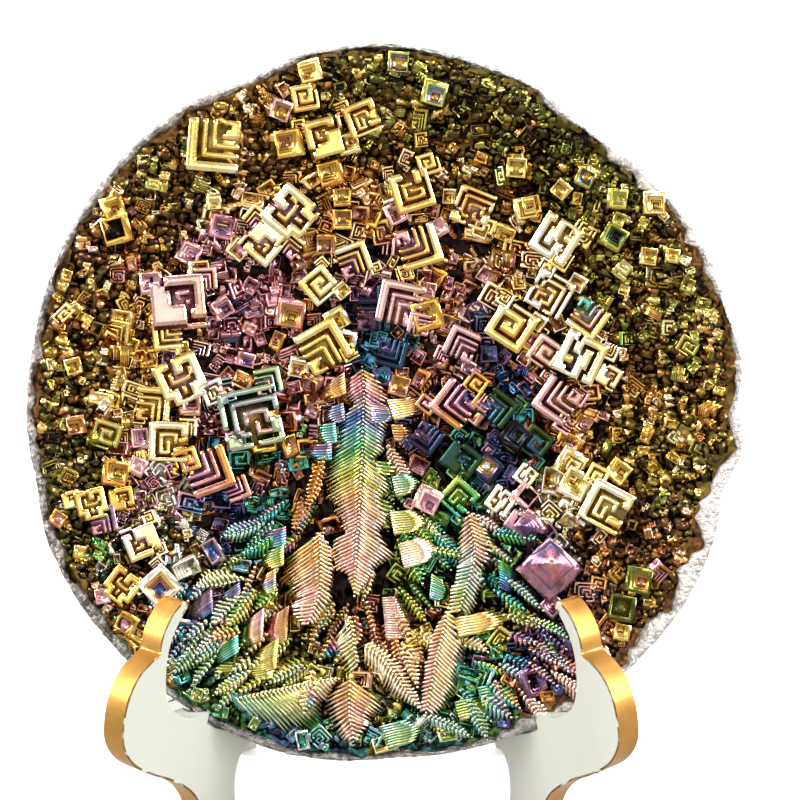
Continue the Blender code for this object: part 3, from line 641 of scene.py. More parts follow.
# Towards the rim the small crystals stand apart: from what distance, how much nearer that is towards one
# angle, in radians, above what height, what share is left out, and their least and relative size.
OUTER_CRUST = 52.0
OUTER_CRUST_SHIFT = 8
OUTER_CRUST_TURN = 0.4
OUTER_CRUST_ABOVE = -46.0
OUTER_LEFT_OUT = 0.7
OUTER_SMALLEST = 1.7
OUTER_SIZE = 0.75
# How near they may stand, as shares of a side: to each other, to the main crystals and to the lip.
INNER_SPACING = 0.29
OUTER_SPACING = 0.34
MAIN_SPACING = (0.42, 0.2)
LIP_CLEARANCE = 0.8
# Their paleness, before the shade of the place is added, and their pits' film and paleness; the pits are
# painted darker than the rims, as painted shade.
OUTER_TONES = (-0.8, -0.65, -0.45, -0.2, 0.2, 0.55)
INNER_TONES = (-0.2, -0.05, 0.1, 0.25, 0.45)
FILL_PIT_FILM = 0.12
FILL_PIT_SHADE = -0.3
# Of the small crystals in the field of dendrites, the share left out.
FILL_LEFT_OUT = 0.78
FILL_LEFT_OUT_AT_RIM = 0.1
BARE_WITHIN = 57.0
# How high they stand over the crust, and how they are turned, to the left and to the right of this place.
FILL_RISES = (0.2, 1.4)
FILL_RISE_SHARE = 0.55
FILL_BELOW_HIGHEST = 0.3
FILL_TURNS = (-4, -18)
FILL_TURNS_PART = 5
FILL_TURN_SPREAD = 20
FILL_LEAN = 24
FILL_LEAN_MOST = 55
FILL_STRETCHES = ((0.55, 1.5), (0.7, 1.3))
# Which are blocks in steps and which have frames: those below a side, and a share of the others. The first
# share is the inner crystals', the second the outer ones'. Then the height of each kind.
STEPS_BELOW = 1.8
STEPS_SHARES = (0.3, 0.75)
FRAMES_BELOW = 3.0
FRAMES_SHARE = 0.75
STEPS_HEIGHT = 2.2
FRAMES_HEIGHT = 2.6
WINDING_HEIGHT = 2.8
# Blocks in steps: each is smaller than the one below by this share, and shifted and raised by these.
BLOCK_SHRINKING = 0.28
BLOCK_SHIFT = 0.3
BLOCK_RISE = 0.3


def inside(point, outline):
    """Whether a point is inside a closed outline."""
    x, y = point
    hit = False
    for (ax, ay), (bx, by) in zip(outline, outline[1:] + outline[:1]):
        if (ay > y) != (by > y) and x < (bx - ax) * (y - ay) / (by - ay) + ax:
            hit = not hit
    return hit


def leaf_outline(stations):
    return [left for _, left, _ in stations] + [right for _, _, right in reversed(stations)]


def steps_crystal(gather, matrix, side, height, chance, rim):
    """A few solid blocks stepping down from a corner, with no pit."""
    half = side / 2
    for step in range(chance.choice((1, 2, 3))):
        size = half * (1.0 - BLOCK_SHRINKING * step)
        shift = half * BLOCK_SHIFT * step
        way_x, way_y = chance.choice((-1, 1)), chance.choice((-1, 1))
        place = np.array(Matrix.Translation((way_x * shift, way_y * shift, -BLOCK_RISE * side * (2 - step))))
        oxide_here = (rim[0] + 0.02 * step, rim[1] + 0.12 * step)
        frames_crystal(gather, matrix @ place, 2 * size, height, chance, oxide_here, oxide_here, size * 0.5,
                       0.05, 0.9, steps=1)


def small_crystal(gather, chance, across, up, distance, side, outer):
    """One of the small crystals: blocks in steps, frames or a winding top, stretched and leaning."""
    ground = crust_depth(distance)
    top = ground + chance.uniform(*FILL_RISES) + FILL_RISE_SHARE * side * chance.random()
    top = min(top, HIGHEST_CRYSTAL - FILL_BELOW_HIGHEST)
    turn = math.radians(chance.gauss(FILL_TURNS[across >= FILL_TURNS_PART], FILL_TURN_SPREAD))
    lean = math.radians(min(FILL_LEAN_MOST, abs(chance.gauss(0, FILL_LEAN))))
    matrix = standing(across, up, top, turn, lean, chance.uniform(0, 2 * math.pi))
    film, _ = oxide(zone_oxide(across, up, chance), chance, 0.03)
    rim = (film, chance.choice(OUTER_TONES if outer else INNER_TONES) + shade(across, up))
    pit = (film + chance.uniform(0.0, FILL_PIT_FILM), min(rim[1], 0.0) + FILL_PIT_SHADE)
    stretch = Matrix.Diagonal((*(chance.uniform(*limits) for limits in FILL_STRETCHES), 1.0, 1.0))
    matrix = matrix @ np.array(stretch)
    kind = chance.random()
    if side < STEPS_BELOW or kind < STEPS_SHARES[outer]:
        steps_crystal(gather, matrix, side, STEPS_HEIGHT, chance, rim)
    elif side < FRAMES_BELOW or kind < FRAMES_SHARE:
        frames_crystal(gather, matrix, side, FRAMES_HEIGHT, chance, rim, pit, 0.46, 0.32, 0.6)
    else:
        winding_crystal(gather, matrix, side, WINDING_HEIGHT, chance, rim, pit, chance.choice("GLEM"))


def crowded(across, up, side, others, share, own_share):
    """Whether a crystal here would stand too near one of the others, each a middle and a side."""
    own = own_share * side
    return any(abs(across - x) < share * s + own and abs(up - y) < share * s + own for x, y, s in others)


def make_fill(inner_gather, outer_gather):
    """Small cubes and hoppers all over the crust, between the main ones."""
    chance = random.Random(SEED + 2)
    outlines = [leaf_outline(leaf["stations"]) for leaf in DENDRITES]
    main = [placed(column, row, size) for column, row, size, *_ in HOPPERS]
    taken = []
    for attempt in range(FILL_TRIES):
        distance = FILL_REACH * math.sqrt(chance.random())
        angle = chance.uniform(0, 2 * math.pi)
        across, up = distance * math.cos(angle), distance * math.sin(angle)
        shifted = OUTER_CRUST - OUTER_CRUST_SHIFT * math.cos(angle - OUTER_CRUST_TURN)
        outer = distance > shifted and up > OUTER_CRUST_ABOVE
        if outer and chance.random() < OUTER_LEFT_OUT:
            continue
        biggest = FILL_SIDES[1] * (1 - FILL_SHRINKING * attempt / FILL_TRIES) * (OUTER_SIZE if outer else 1.0)
        side = max(OUTER_SMALLEST if outer else FILL_SIDES[0], biggest * chance.uniform(*FILL_SIZES))
        degrees = math.degrees(angle)
        if distance > rim_radius(degrees) - angle_list(LIP_WIDTHS, degrees) - LIP_CLEARANCE * side:
            continue
        if crowded(across, up, side, main, *MAIN_SPACING):
            continue
        if any(inside((across, up), outline) for outline in outlines):
            continue
        bare = FILL_LEFT_OUT if distance < BARE_WITHIN else FILL_LEFT_OUT_AT_RIM
        if inside((across, up), SHOOT_FIELD) and chance.random() < bare:
            continue
        apart = OUTER_SPACING if outer else INNER_SPACING
        if any(max(abs(across - x), abs(up - y)) < apart * (side + s) for x, y, s in taken):
            continue
        taken.append((across, up, side))
        small_crystal(outer_gather if outer else inner_gather, chance, across, up, distance, side, outer)


# ---------------------------------------------------------------------------------------------------------
# Dendrites.

# The stations of each dendrite, along its ridge: a point on the ridge, and the left and right edge there.
TRUNK = (
    ((-4.4, 8.1), (-6.7, 6.0), (-2.1, 6.0)),
    ((-4.2, 6.0), (-7.7, 3.1), (1.0, 2.7)),
    ((-4.0, 2.7), (-6.0, -0.6), (0.0, 0.2)),
    ((-4.0, 0.0), (-8.7, -5.6), (2.9, -3.7)),
    ((-4.2, -4.2), (-10.0, -8.5), (0.8, -9.0)),
    ((-4.2, -7.3), (-11.0, -11.5), (-1.2, -11.7)),
    ((-4.2, -10.4), (-9.6, -14.8), (-1.0, -14.2)),
    ((-4.4, -13.1), (-12.7, -17.9), (2.9, -19.2)),
    ((-4.6, -17.3), (-9.8, -21.5), (-0.4, -22.1)),
    ((-4.8, -20.8), (-10.8, -26.5), (1.2, -26.0)),
    ((-5.0, -25.0), (-11.0, -32.3), (3.1, -31.9)),
    ((-5.4, -30.2), (-10.6, -36.5), (2.5, -36.5)),
    ((-5.8, -35.4), (-8.3, -39.0), (-2.1, -38.5)),
    ((-5.8, -40.0), (-6.7, -40.6), (-5.0, -40.2)),
)
LEFT_PLATE = (
    ((-13.3, -27.5), (-17.7, -28.3), (-12.1, -28.1)),
    ((-13.1, -29.8), (-20.4, -31.5), (-10.6, -30.6)),
    ((-12.9, -33.3), (-22.1, -36.9), (-10.0, -34.4)),
    ((-12.9, -37.5), (-18.7, -41.5), (-10.2, -38.5)),
    ((-13.3, -40.6), (-19.6, -43.1), (-10.8, -41.9)),
    ((-14.6, -43.7), (-17.7, -45.2), (-12.1, -44.4)),
    ((-15.4, -45.6), (-16.5, -46.5), (-14.2, -46.0)),
)
RIGHT_TRUNK = (
    ((13.3, -43.5), (12.1, -45.2), (15.2, -44.8)),
    ((13.1, -45.8), (10.6, -47.7), (17.1, -49.0)),
    ((12.1, -50.0), (9.4, -51.9), (17.7, -54.0)),
    ((11.2, -53.5), (8.7, -55.6), (16.7, -58.1)),
    ((10.4, -57.5), (8.1, -59.8), (15.4, -61.9)),
    ((9.2, -64.0), (7.9, -64.4), (11.7, -64.8)),
)
RIGHT_LEAF = (
    ((18.3, -22.7), (17.3, -24.0), (19.6, -23.5)),
    ((18.7, -25.6), (16.0, -28.1), (23.3, -27.3)),
    ((19.4, -29.2), (15.2, -31.9), (24.6, -31.7)),
    ((19.6, -32.5), (15.8, -34.4), (22.1, -34.4)),
    ((18.1, -37.5), (14.0, -40.4), (20.2, -41.5)),
    ((16.2, -43.1), (13.5, -44.4), (18.3, -44.8)),
)
OLIVE_LEAF = (
    ((-11.2, -44.0), (-16.5, -47.1), (-10.6, -43.9)),
    ((-8.7, -44.0), (-15.0, -48.7), (-8.1, -43.9)),
    ((-7.1, -44.4), (-12.9, -50.8), (-6.5, -44.4)),
    ((-6.2, -47.3), (-10.4, -53.9), (-5.6, -47.1)),
    ((-5.8, -51.7), (-8.3, -55.6), (-5.2, -51.5)),
    ((-5.2, -54.4), (-7.1, -56.5), (-4.6, -54.2)),
)
LOWER_CHEVRON = (
    ((-6.7, -57.7), (-7.9, -57.7), (-5.4, -57.5)),
    ((-6.9, -61.0), (-10.8, -60.4), (-2.1, -59.4)),
    ((-6.9, -64.6), (-12.1, -62.9), (1.7, -62.3)),
    ((-6.2, -67.9), (-11.2, -66.9), (-1.0, -65.8)),
    ((-6.0, -70.0), (-8.1, -70.0), (-4.8, -69.8)),
)
LOWER_FAN = (
    ((-30.2, -61.0), (-29.2, -64.6), (-30.4, -60.8)),
    ((-25.0, -60.2), (-23.4, -67.4), (-25.0, -59.6)),
    ((-19.0, -59.0), (-16.6, -69.2), (-19.2, -58.4)),
    ((-13.0, -57.9), (-12.8, -68.4), (-13.2, -57.3)),
    ((-9.0, -57.2), (-11.4, -61.2), (-9.0, -56.8)),
)
LOWER_BLADE = (
    ((-3.3, -50.4), (-4.6, -51.0), (-1.9, -49.6)),
    ((0.4, -53.1), (-3.7, -55.8), (2.7, -53.1)),
    ((3.1, -56.5), (-0.8, -58.9), (6.2, -56.5)),
    ((5.2, -59.8), (2.1, -61.2), (7.5, -60.2)),
    ((7.5, -62.9), (5.8, -62.7), (8.5, -63.5)),
)
# The trunk's own jagged edges, left and right, for its arms to end at. The others use their stations.
TRUNK_OUTLINES = (
    ((-6.5, 6.4), (-9.2, 2.9), (-6.2, -0.4), (-9.6, -3.5), (-10.4, -6.9), (-11.2, -10.2), (-12.5, -13.7),
     (-12.7, -16.2), (-12.5, -18.7), (-10.8, -21.2), (-9.6, -24.0), (-7.9, -27.3), (-11.2, -28.3),
     (-11.2, -31.5), (-10.4, -34.6), (-7.5, -35.8), (-6.5, -38.3)),
    ((-2.0, 6.6), (1.0, 2.9), (2.7, -2.6), (1.0, -3.5), (1.2, -6.9), (0.2, -10.2), (-1.5, -11.9),
     (1.0, -14.6), (2.9, -17.9), (0.2, -20.4), (2.1, -24.8), (-0.2, -27.3), (3.1, -31.9), (0.2, -34.2),
     (-2.3, -36.7), (-5.0, -40.2)),
)
# Each dendrite: its stations, the ridge's rise over the crust at its ends, how far its edges drop, and the
# oxide colours and the paleness down its left and its right flank.
DENDRITES = (
    {"stations": TRUNK, "outlines": TRUNK_OUTLINES, "rise": (4.0, 9.0), "drop": 2.2,
     "left": ("brown", "pink", "blue", "teal", "green", "lime", "orange", "rose", "rose", "rose", "rose",
              "silver"),
     "right": ("orange", "pink", "purple", "teal", "green", "lime", "gold", "rose", "rose", "rose", "rose",
               "silver"),
     "pale": ((0.0, 0.1, 0.1, 0.0, 0.0, 0.05, 0.15, 0.3, 0.35, 0.3, 0.3, 0.3),
              (0.1, 0.2, 0.25, 0.2, 0.2, 0.2, 0.35, 0.5, 0.55, 0.6, 0.7, 0.8, 0.4))},
    {"stations": LEFT_PLATE, "rise": (7.0, 8.5), "drop": 1.8,
     "left": ("gold", "orange", "rose", "rose", "rose"),
     "right": ("cream", "rose"), "pale": ((0.15, 0.25, 0.35, 0.4, 0.4), (0.7, 0.8, 0.7))},
    {"stations": RIGHT_TRUNK, "rise": (7.0, 5.0), "drop": 1.6, "left": ("orange", "rose", "rose"),
     "right": ("cream", "orange", "rose"), "pale": ((0.4, 0.4, 0.5), (0.7, 0.9, 0.8, 0.9, 0.7))},
    {"stations": RIGHT_LEAF, "rise": (6.0, 6.5), "drop": 1.8,
     "left": ("orange", "pink", "blue", "teal", "green", "lime"),
     "right": ("orange", "orange", "pink", "blue", "teal", "green"),
     "pale": ((0.4, 0.4, 0.6, 0.4, 0.3, 0.3), (0.3, 0.4, 0.6, 0.6, 0.5, 0.3))},
    {"stations": OLIVE_LEAF, "rise": (6.5, 5.5), "drop": 1.2, "left": ("lime", "lime", "lime"),
     "right": ("lime", "lime"), "pale": ((0.45, 0.55, 0.6), (0.5, 0.6))},
    {"stations": LOWER_CHEVRON, "rise": (5.5, 2.5), "drop": 1.2, "left": ("brown", "rose", "rose"),
     "right": ("orange", "rose", "rose"), "pale": ((0.3, 0.4, 0.4), (0.35, 0.45, 0.4))},
    {"stations": LOWER_FAN, "rise": (4.5, 5.0), "drop": 1.6,
     "left": ("teal", "green", "lime", "gold", "orange"),
     "right": ("lime", "lime"), "pale": ((0.3, 0.3, 0.4, 0.6, 0.6), (0.4, 0.4))},
    {"stations": LOWER_BLADE, "rise": (6.0, 5.0), "drop": 1.4, "left": ("cream", "rose", "rose"),
     "right": ("cream", "rose"), "pale": ((0.9, 1.0, 0.9), (0.8, 0.9))},
)
# Small striped blades between the dendrites: four corners, stripes from the first to the second and from the
# fourth to the third, then the rise, the drop along the stripes and two oxide colours.
BLADES = (
    ((-8.1, 6.7), (-13.7, 2.7), (-12.9, 0.6), (-7.7, 2.7), 5.0, 1.6, "brown", "orange"),
    ((-8.3, 0.2), (-12.5, -1.5), (-11.7, -4.4), (-7.9, -3.1), 4.6, 1.4, "blue", "purple"),
    ((-10.0, -4.0), (-14.2, -4.8), (-13.3, -8.5), (-9.6, -7.7), 5.2, 1.2, "teal", "teal"),
    ((-10.8, -8.5), (-16.5, -9.0), (-15.8, -11.5), (-10.8, -11.5), 5.0, 1.4, "purple", "teal"),
    ((-2.5, 0.2), (2.5, -0.6), (3.3, -3.1), (-2.1, -4.0), 5.0, 1.2, "purple", "blue"),
    ((1.2, 0.6), (8.7, 1.9), (10.0, -1.0), (2.5, -3.1), 4.4, 1.6, "gold", "cream"),
    ((1.9, -4.6), (6.0, -4.4), (6.2, -7.3), (2.5, -7.5), 4.6, 1.2, "orange", "brown"),
    ((-1.2, -12.3), (3.3, -12.7), (2.9, -15.2), (-1.2, -14.4), 5.4, 1.2, "green", "lime"),
    ((2.1, -15.6), (6.7, -14.8), (7.5, -18.1), (2.9, -19.4), 6.0, 1.0, "teal", "silver"),
    ((1.7, -23.1), (7.9, -22.3), (9.6, -26.0), (2.5, -27.3), 6.4, 1.2, "lime", "yellow"),
    ((3.5, -29.8), (10.0, -27.7), (11.7, -32.3), (4.6, -34.4), 6.6, 1.4, "cream", "silver"),
    ((-24.8, -42.9), (-29.8, -46.9), (-29.2, -51.0), (-25.0, -49.0), 5.6, 1.6, "pink", "brown"),
    ((-19.6, -42.5), (-25.0, -46.5), (-24.2, -51.5), (-20.0, -49.0), 5.4, 1.8, "brown", "brown"),
    ((-21.7, -49.2), (-27.9, -53.1), (-27.1, -56.9), (-22.1, -54.8), 5.0, 1.6, "lime", "gold"),
    ((-30.0, -37.5), (-36.9, -42.7), (-34.8, -47.3), (-29.2, -43.1), 4.8, 1.2, "blue", "purple"),
    ((-35.8, -38.5), (-41.2, -42.7), (-40.0, -46.5), (-35.4, -43.1), 4.6, 1.2, "purple", "blue"),
    ((-30.4, -45.8), (-37.9, -50.6), (-36.7, -55.6), (-30.0, -51.5), 4.4, 1.2, "green", "teal"),
    ((-35.4, -47.3), (-40.8, -51.0), (-40.0, -54.8), (-35.4, -52.1), 4.2, 1.0, "teal", "green"),
    ((-22.3, -52.7), (-30.0, -54.8), (-29.2, -58.1), (-22.9, -56.9), 4.2, 1.2, "lime", "lime"),
    ((20.0, -59.4), (25.2, -58.1), (25.8, -61.5), (20.8, -62.7), 3.8, 1.0, "teal", "green"),
    ((-0.4, -67.3), (7.5, -65.2), (8.7, -69.4), (1.2, -71.4), 3.2, 0.8, "teal", "silver"),
    ((15.2, -62.3), (21.7, -60.8), (22.5, -63.9), (16.2, -65.6), 3.8, 1.0, "green", "lime"),
    ((15.2, -45.2), (25.6, -43.1), (26.2, -46.5), (16.2, -48.5), 5.6, 1.4, "cream", "yellow"),
    ((0.0, -41.0), (4.6, -40.6), (6.2, -49.0), (0.8, -49.0), 5.4, 1.6, "rose", "pink"),
    ((-20.4, -26.0), (-26.2, -27.7), (-25.4, -30.6), (-20.4, -29.4), 5.4, 1.2, "purple", "teal"),
    ((-20.8, -29.8), (-25.8, -32.3), (-25.0, -35.2), (-20.8, -33.5), 5.6, 1.2, "green", "lime"),
    ((-22.5, -34.8), (-26.2, -37.3), (-25.8, -40.6), (-22.5, -39.0), 5.4, 1.2, "yellow", "lime"),
    ((-31.2, -59.8), (-29.6, -64.8), (-25.0, -66.4), (-26.2, -60.6), 3.6, 1.2, "teal", "blue"),
    ((10.4, -36.0), (14.6, -38.5), (14.2, -41.9), (10.0, -40.6), 5.4, 1.2, "green", "teal"),
    ((24.8, -33.1), (29.6, -36.0), (29.2, -40.8), (24.8, -38.5), 4.4, 1.4, "green", "dark"),
)
# The arms: how far apart they stand, their angle to the ridge, how much one side of an arm is higher than the
# other, their depth, and their half widths at the root and at the tip as shares of the pitch.
ARM_PITCH = 0.8
ARM_SPREAD = math.radians(57)
ARM_SAW = 0.34
ARM_DEPTH = 1.3
ARM_ROOT = 0.47
ARM_TIP = 0.40
# How far an arm reaches past its leaf's edge, less what the teeth and chance take off, and its paleness.
ARM_REACH = 1.05
TOOTH_DEPTH = 0.2
TOOTH_PALENESS = 0.15
ARM_RAGGEDNESS = 0.06
ARM_LIFT = 0.10
LEAF_PALENESS = 0.17
LEAF_PALENESS_SPREAD = 0.12
# How far from the middle an edge has its full drop, as a share of the leaf's longest reach.
DROP_REACH = 0.6
BODY_SHARE = 0.8
BODY_LEVELS = 12
BODY_FOOT = 2.0
BODY_BELOW_ARMS = 0.5
SPINE_BEAD = 0.42
BEAD_DEPTH = 0.8
IDENTITY = np.eye(4)


def along(values, share):
    """Values at a share of a list of evenly placed ones."""
    place = share * (len(values) - 1)
    low = min(int(place), max(len(values) - 2, 0))
    high = min(low + 1, len(values) - 1)
    return values[low] * (1 - (place - low)) + values[high] * (place - low)


def resampled(line, pitch):
    """Points at an even pitch along a line."""
    line = np.array(line, float)
    length = np.concatenate([[0], np.cumsum(np.hypot(*np.diff(line, axis=0).T))])
    places = np.linspace(0, length[-1], max(4, int(length[-1] / pitch)))
    return np.column_stack([np.interp(places, length, line[:, axis]) for axis in (0, 1)])


def reach_to(start, direction, outline):
    """How far a ray runs from a point to an outline, or nothing if it misses it."""
    best = None
    for (ax, ay), (bx, by) in zip(outline, outline[1:]):
        ex, ey = bx - ax, by - ay
        across = direction[0] * ey - direction[1] * ex
        if abs(across) < 1e-9:
            continue
        far = ((ax - start[0]) * ey - (ay - start[1]) * ex) / across
        share = ((ax - start[0]) * direction[1] - (ay - start[1]) * direction[0]) / across
        if -0.02 <= share <= 1.02 and far > 0.25 and (best is None or far < best):
            best = far
    return best


def arm(gather, root, tip, tangent, root_height, tip_height, film, pale, saw):
    """One arm of a dendrite: a bar with a sloping top, which catches the light apart from the next."""
    wide = tangent * ARM_PITCH * ARM_ROOT
    narrow = tangent * ARM_PITCH * ARM_TIP
    points = [
        (*(root - wide), root_height - ARM_DEPTH), (*(tip - narrow), tip_height - ARM_DEPTH),
        (*(tip + narrow), tip_height - ARM_DEPTH), (*(root + wide), root_height - ARM_DEPTH),
        (*(root - wide), root_height + saw), (*(tip - narrow), tip_height + saw * 0.8),
        (*(tip + narrow), tip_height - saw * 0.5), (*(root + wide), root_height - saw * 0.6),
    ]
    # Painted shade: the sides are darker than the top, one long side only half as pale, as if lit from that
    # side.
    gather.add(IDENTITY, points, BOX_FACES, film, [-0.3, pale, pale * 0.5, -0.2, -0.2, -0.3])


def monotone(names):
    """The film of each colour in a list, raised past the ramp's end where needed so that it keeps growing."""
    values = []
    for name in names:
        film = OXIDES[name][0]
        if values and film < values[-1] - 0.35:
            film += SECOND_ORDER
        values.append(film)
    return values


def leaf_body(gather, ridge, tips, heights, drop, film):
    """The solid under a leaf's arms, down into the crust."""
    points = []
    for here, (a, b), height in zip(ridge, tips, heights):
        a = here + (a - here) * BODY_SHARE
        b = here + (b - here) * BODY_SHARE
        low = crust_depth(math.hypot(*here)) - BODY_FOOT
        edge = height - drop - BODY_BELOW_ARMS
        points += [(*a, low), (*a, edge), (*here, height - BODY_BELOW_ARMS), (*b, edge), (*b, low)]
    faces = []
    for level in range(len(ridge) - 1):
        low = 5 * level
        faces += [(low + i, low + (i + 1) % 5, low + 5 + (i + 1) % 5, low + 5 + i) for i in range(5)]
    # The body under the arms is painted darker than they are: painted shade.
    gather.add(IDENTITY, points, faces, film, -0.4)


def make_leaf(gather, chance, ridge, outlines, rise, drop, flanks, paleness, saw=ARM_SAW):
    """A dendrite: a beaded ridge with bars to both sides, whose ends make jagged blades."""
    ridge = resampled(ridge, ARM_PITCH)
    count = len(ridge)
    shares = np.arange(count) / (count - 1)
    heights = [min(crust_depth(math.hypot(*spot)) + rise[0] + (rise[1] - rise[0]) * share, HIGHEST_LEAF)
               for spot, share in zip(ridge, shares)]
    tangents = np.gradient(ridge, axis=0)
    tangents /= np.maximum(np.hypot(*tangents.T), 1e-6)[:, None]
    middle = ridge[count // 2]
    longest = max(math.hypot(*(np.array(end) - middle)) for line in outlines for end in line) * DROP_REACH
    tips = [[spot.copy(), spot.copy()] for spot in ridge]
    for flank, (outline, colours, pales) in enumerate(zip(outlines, flanks, paleness)):
        turn = ARM_SPREAD if flank else -ARM_SPREAD
        films = monotone(colours)
        phase = chance.randint(0, 6)
        tooth = chance.randint(5, 8)
        for index in range(count):
            tx, ty = tangents[index]
            cos, sin = math.cos(turn), math.sin(turn)
            way = np.array((tx * cos - ty * sin, tx * sin + ty * cos))
            far = reach_to(ridge[index], way, outline)
            if far is None:
                continue
            group = ((index + phase) % tooth) / tooth
            far *= ARM_REACH - TOOTH_DEPTH * group - ARM_RAGGEDNESS * chance.random()
            tip = ridge[index] + way * far
            tips[index][flank] = tip
            film = along(films, shares[index]) + chance.gauss(0, 0.01)
            pale = LEAF_PALENESS + along(pales, shares[index]) + TOOTH_PALENESS * (group < 0.2)
            pale += chance.gauss(0, LEAF_PALENESS_SPREAD)
            sag = drop * min(1.2, far / longest)
            lift = ARM_LIFT * chance.random()
            arm(gather, ridge[index], tip, tangents[index], heights[index] + lift,
                heights[index] - sag + lift, film, pale, saw)
    films = monotone(flanks[1])
    picked = sorted(set(range(0, count, max(1, count // BODY_LEVELS))) | {count - 1})
    leaf_body(gather, ridge[picked], [tips[i] for i in picked], [heights[i] for i in picked], drop, films[0])
    for index, (x, y) in enumerate(ridge):
        half = SPINE_BEAD * (0.3 + 0.2 * (index % 2))
        top = heights[index] + SPINE_BEAD + 0.08 * (index % 2)
        bead = block(x - half, x + half, y - half, y + half, top - BEAD_DEPTH, top)
        gather.add(IDENTITY, bead, BOX_FACES, along(films, shares[index]), 0.5)


# A small leaf's width at these shares of its length, as a share of the most.
LENS_WIDTHS = ((0.0, 0.15), (0.25, 0.7), (0.55, 1.0), (0.8, 0.75), (1.0, 0.05))


def lens(root, direction, length, left, right):
    """The ridge and the two outlines of a small leaf that points one way."""
    root = np.array(root)
    ahead = np.array((math.cos(direction), math.sin(direction)))
    aside = np.array((-ahead[1], ahead[0]))
    ridge = [root, root + ahead * length]
    # The left flank lies on the right hand of the direction in which a leaf's ridge runs down.
    return ridge, ([root + ahead * length * s - aside * left * w for s, w in LENS_WIDTHS],
                   [root + ahead * length * s + aside * right * w for s, w in LENS_WIDTHS])


SHOOTS = 130
# The outline of the field of dendrites, and the box round it.
SHOOT_FIELD = [(-42, -37), (-30, -36), (-26, -22), (-16, -10), (4, -8), (9, -18), (18, -22), (30, -32),
               (33, -46), (36, -56), (24, -67), (6, -71), (-14, -70), (-30, -64), (-42, -55)]
SHOOTS_ACROSS = (-42, 36)
SHOOTS_UP = (-71, -8)
SHOOTS_WITHIN = 66
# The share of shoots left out over the main dendrites.
SHOOTS_LEFT_OUT = 0.85
# They point down, and away from this place across by up to this many degrees.
SHOOTS_MIDDLE = -4
SHOOTS_FAN = 52
SHOOTS_FAN_REACH = 14
SHOOT_TURN_SPREAD = 14
SHOOT_LENGTHS = (4.5, 11.0)
SHOOT_WIDTHS = (0.6, 3.4)
SHOOT_RISES = (2.2, 5.6)
SHOOT_DROPS = (0.7, 1.6)
SHOOT_TONES = (-0.3, 0.0, 0.2, 0.5)
SHOOT_SHADE_SHARE = 0.8
SHOOT_SAW = 0.2


def make_shoots(gather, chance):
    """Small fern-like crystals that fill the field of dendrites, pointing down and away from its middle."""
    outlines = [leaf_outline(leaf["stations"]) for leaf in DENDRITES]
    made = 0
    while made < SHOOTS:
        across, up = chance.uniform(*SHOOTS_ACROSS), chance.uniform(*SHOOTS_UP)
        if not inside((across, up), SHOOT_FIELD) or math.hypot(across, up) > SHOOTS_WITHIN:
            continue
        covered = any(inside((across, up), outline) for outline in outlines)
        if covered and chance.random() < SHOOTS_LEFT_OUT:
            continue
        made += 1
        away = max(-1.0, min(1.0, (across - SHOOTS_MIDDLE) / SHOOTS_FAN_REACH))
        direction = math.radians(-90 + SHOOTS_FAN * away + chance.gauss(0, SHOOT_TURN_SPREAD))
        length = chance.uniform(*SHOOT_LENGTHS)
        left, right = chance.uniform(*SHOOT_WIDTHS), chance.uniform(*SHOOT_WIDTHS)
        ridge, lines = lens((across, up), direction, length, left, right)
        rise = chance.uniform(*SHOOT_RISES)
        names = [zone_oxide(across, up, chance) for _ in range(3)]
        tone = SHOOT_SHADE_SHARE * shade(across, up) + chance.choice(SHOOT_TONES)
        rises = (rise, rise + chance.uniform(-1, 1))
        make_leaf(gather, chance, ridge, lines, rises, chance.uniform(*SHOOT_DROPS),
                  (names[:2], names[1:]), ((tone, tone), (tone + 0.15, tone)), saw=SHOOT_SAW)


BLADE_PITCH = 0.45
BLADE_PALENESS = 0.15
BLADE_SAW = 0.16


def make_blade(gather, chance, a, b, c, d, rise, drop, first, second):
    """A flat striped blade between the dendrites."""
    outline = [np.array(b), np.array(c)]
    start, end = np.array(a), np.array(d)
    count = max(3, int(math.hypot(*(end - start)) / BLADE_PITCH))
    film_a, film_b = monotone((first, second))
    pale = (OXIDES[first][1] + OXIDES[second][1]) / 2 + BLADE_PALENESS
    tangent = (end - start) / max(math.hypot(*(end - start)), 0.1)
    spots, tips, heights = [], [], []
    for index in range(count):
        share = index / (count - 1)
        here = start + (end - start) * share
        tip = outline[0] + (outline[1] - outline[0]) * share
        tip = here + (tip - here) * (0.62 + 0.5 * math.sin(math.pi * (0.15 + 0.7 * share)))
        height = min(crust_depth(math.hypot(*here)) + rise, HIGHEST_CRYSTAL)
        arm(gather, here, here + (tip - here) * (1.0 - 0.1 * chance.random()), tangent, height, height - drop,
            film_a + (film_b - film_a) * share, pale + chance.gauss(0, 0.1), BLADE_SAW)
        spots.append(here)
        tips.append([here + 0.02, tip])
        heights.append(height)
    leaf_body(gather, spots, tips, heights, drop, film_a)


def make_dendrites(gather):
    chance = random.Random(SEED + 3)
    for leaf in DENDRITES:
        stations = leaf["stations"]
        lines = leaf.get("outlines") or [[station[i] for station in stations] for i in (1, 2)]
        lines = [[stations[0][0], *line, stations[-1][0]] for line in lines]
        make_leaf(gather, chance, [station[0] for station in stations], lines, leaf["rise"], leaf["drop"],
                  (leaf["left"], leaf["right"]), leaf["pale"])
    for blade in BLADES:
        make_blade(gather, chance, *blade)
    make_shoots(gather, chance)


# ---------------------------------------------------------------------------------------------------------
# The ground of the crust and the cast shell.

LINING_STEP = 0.8
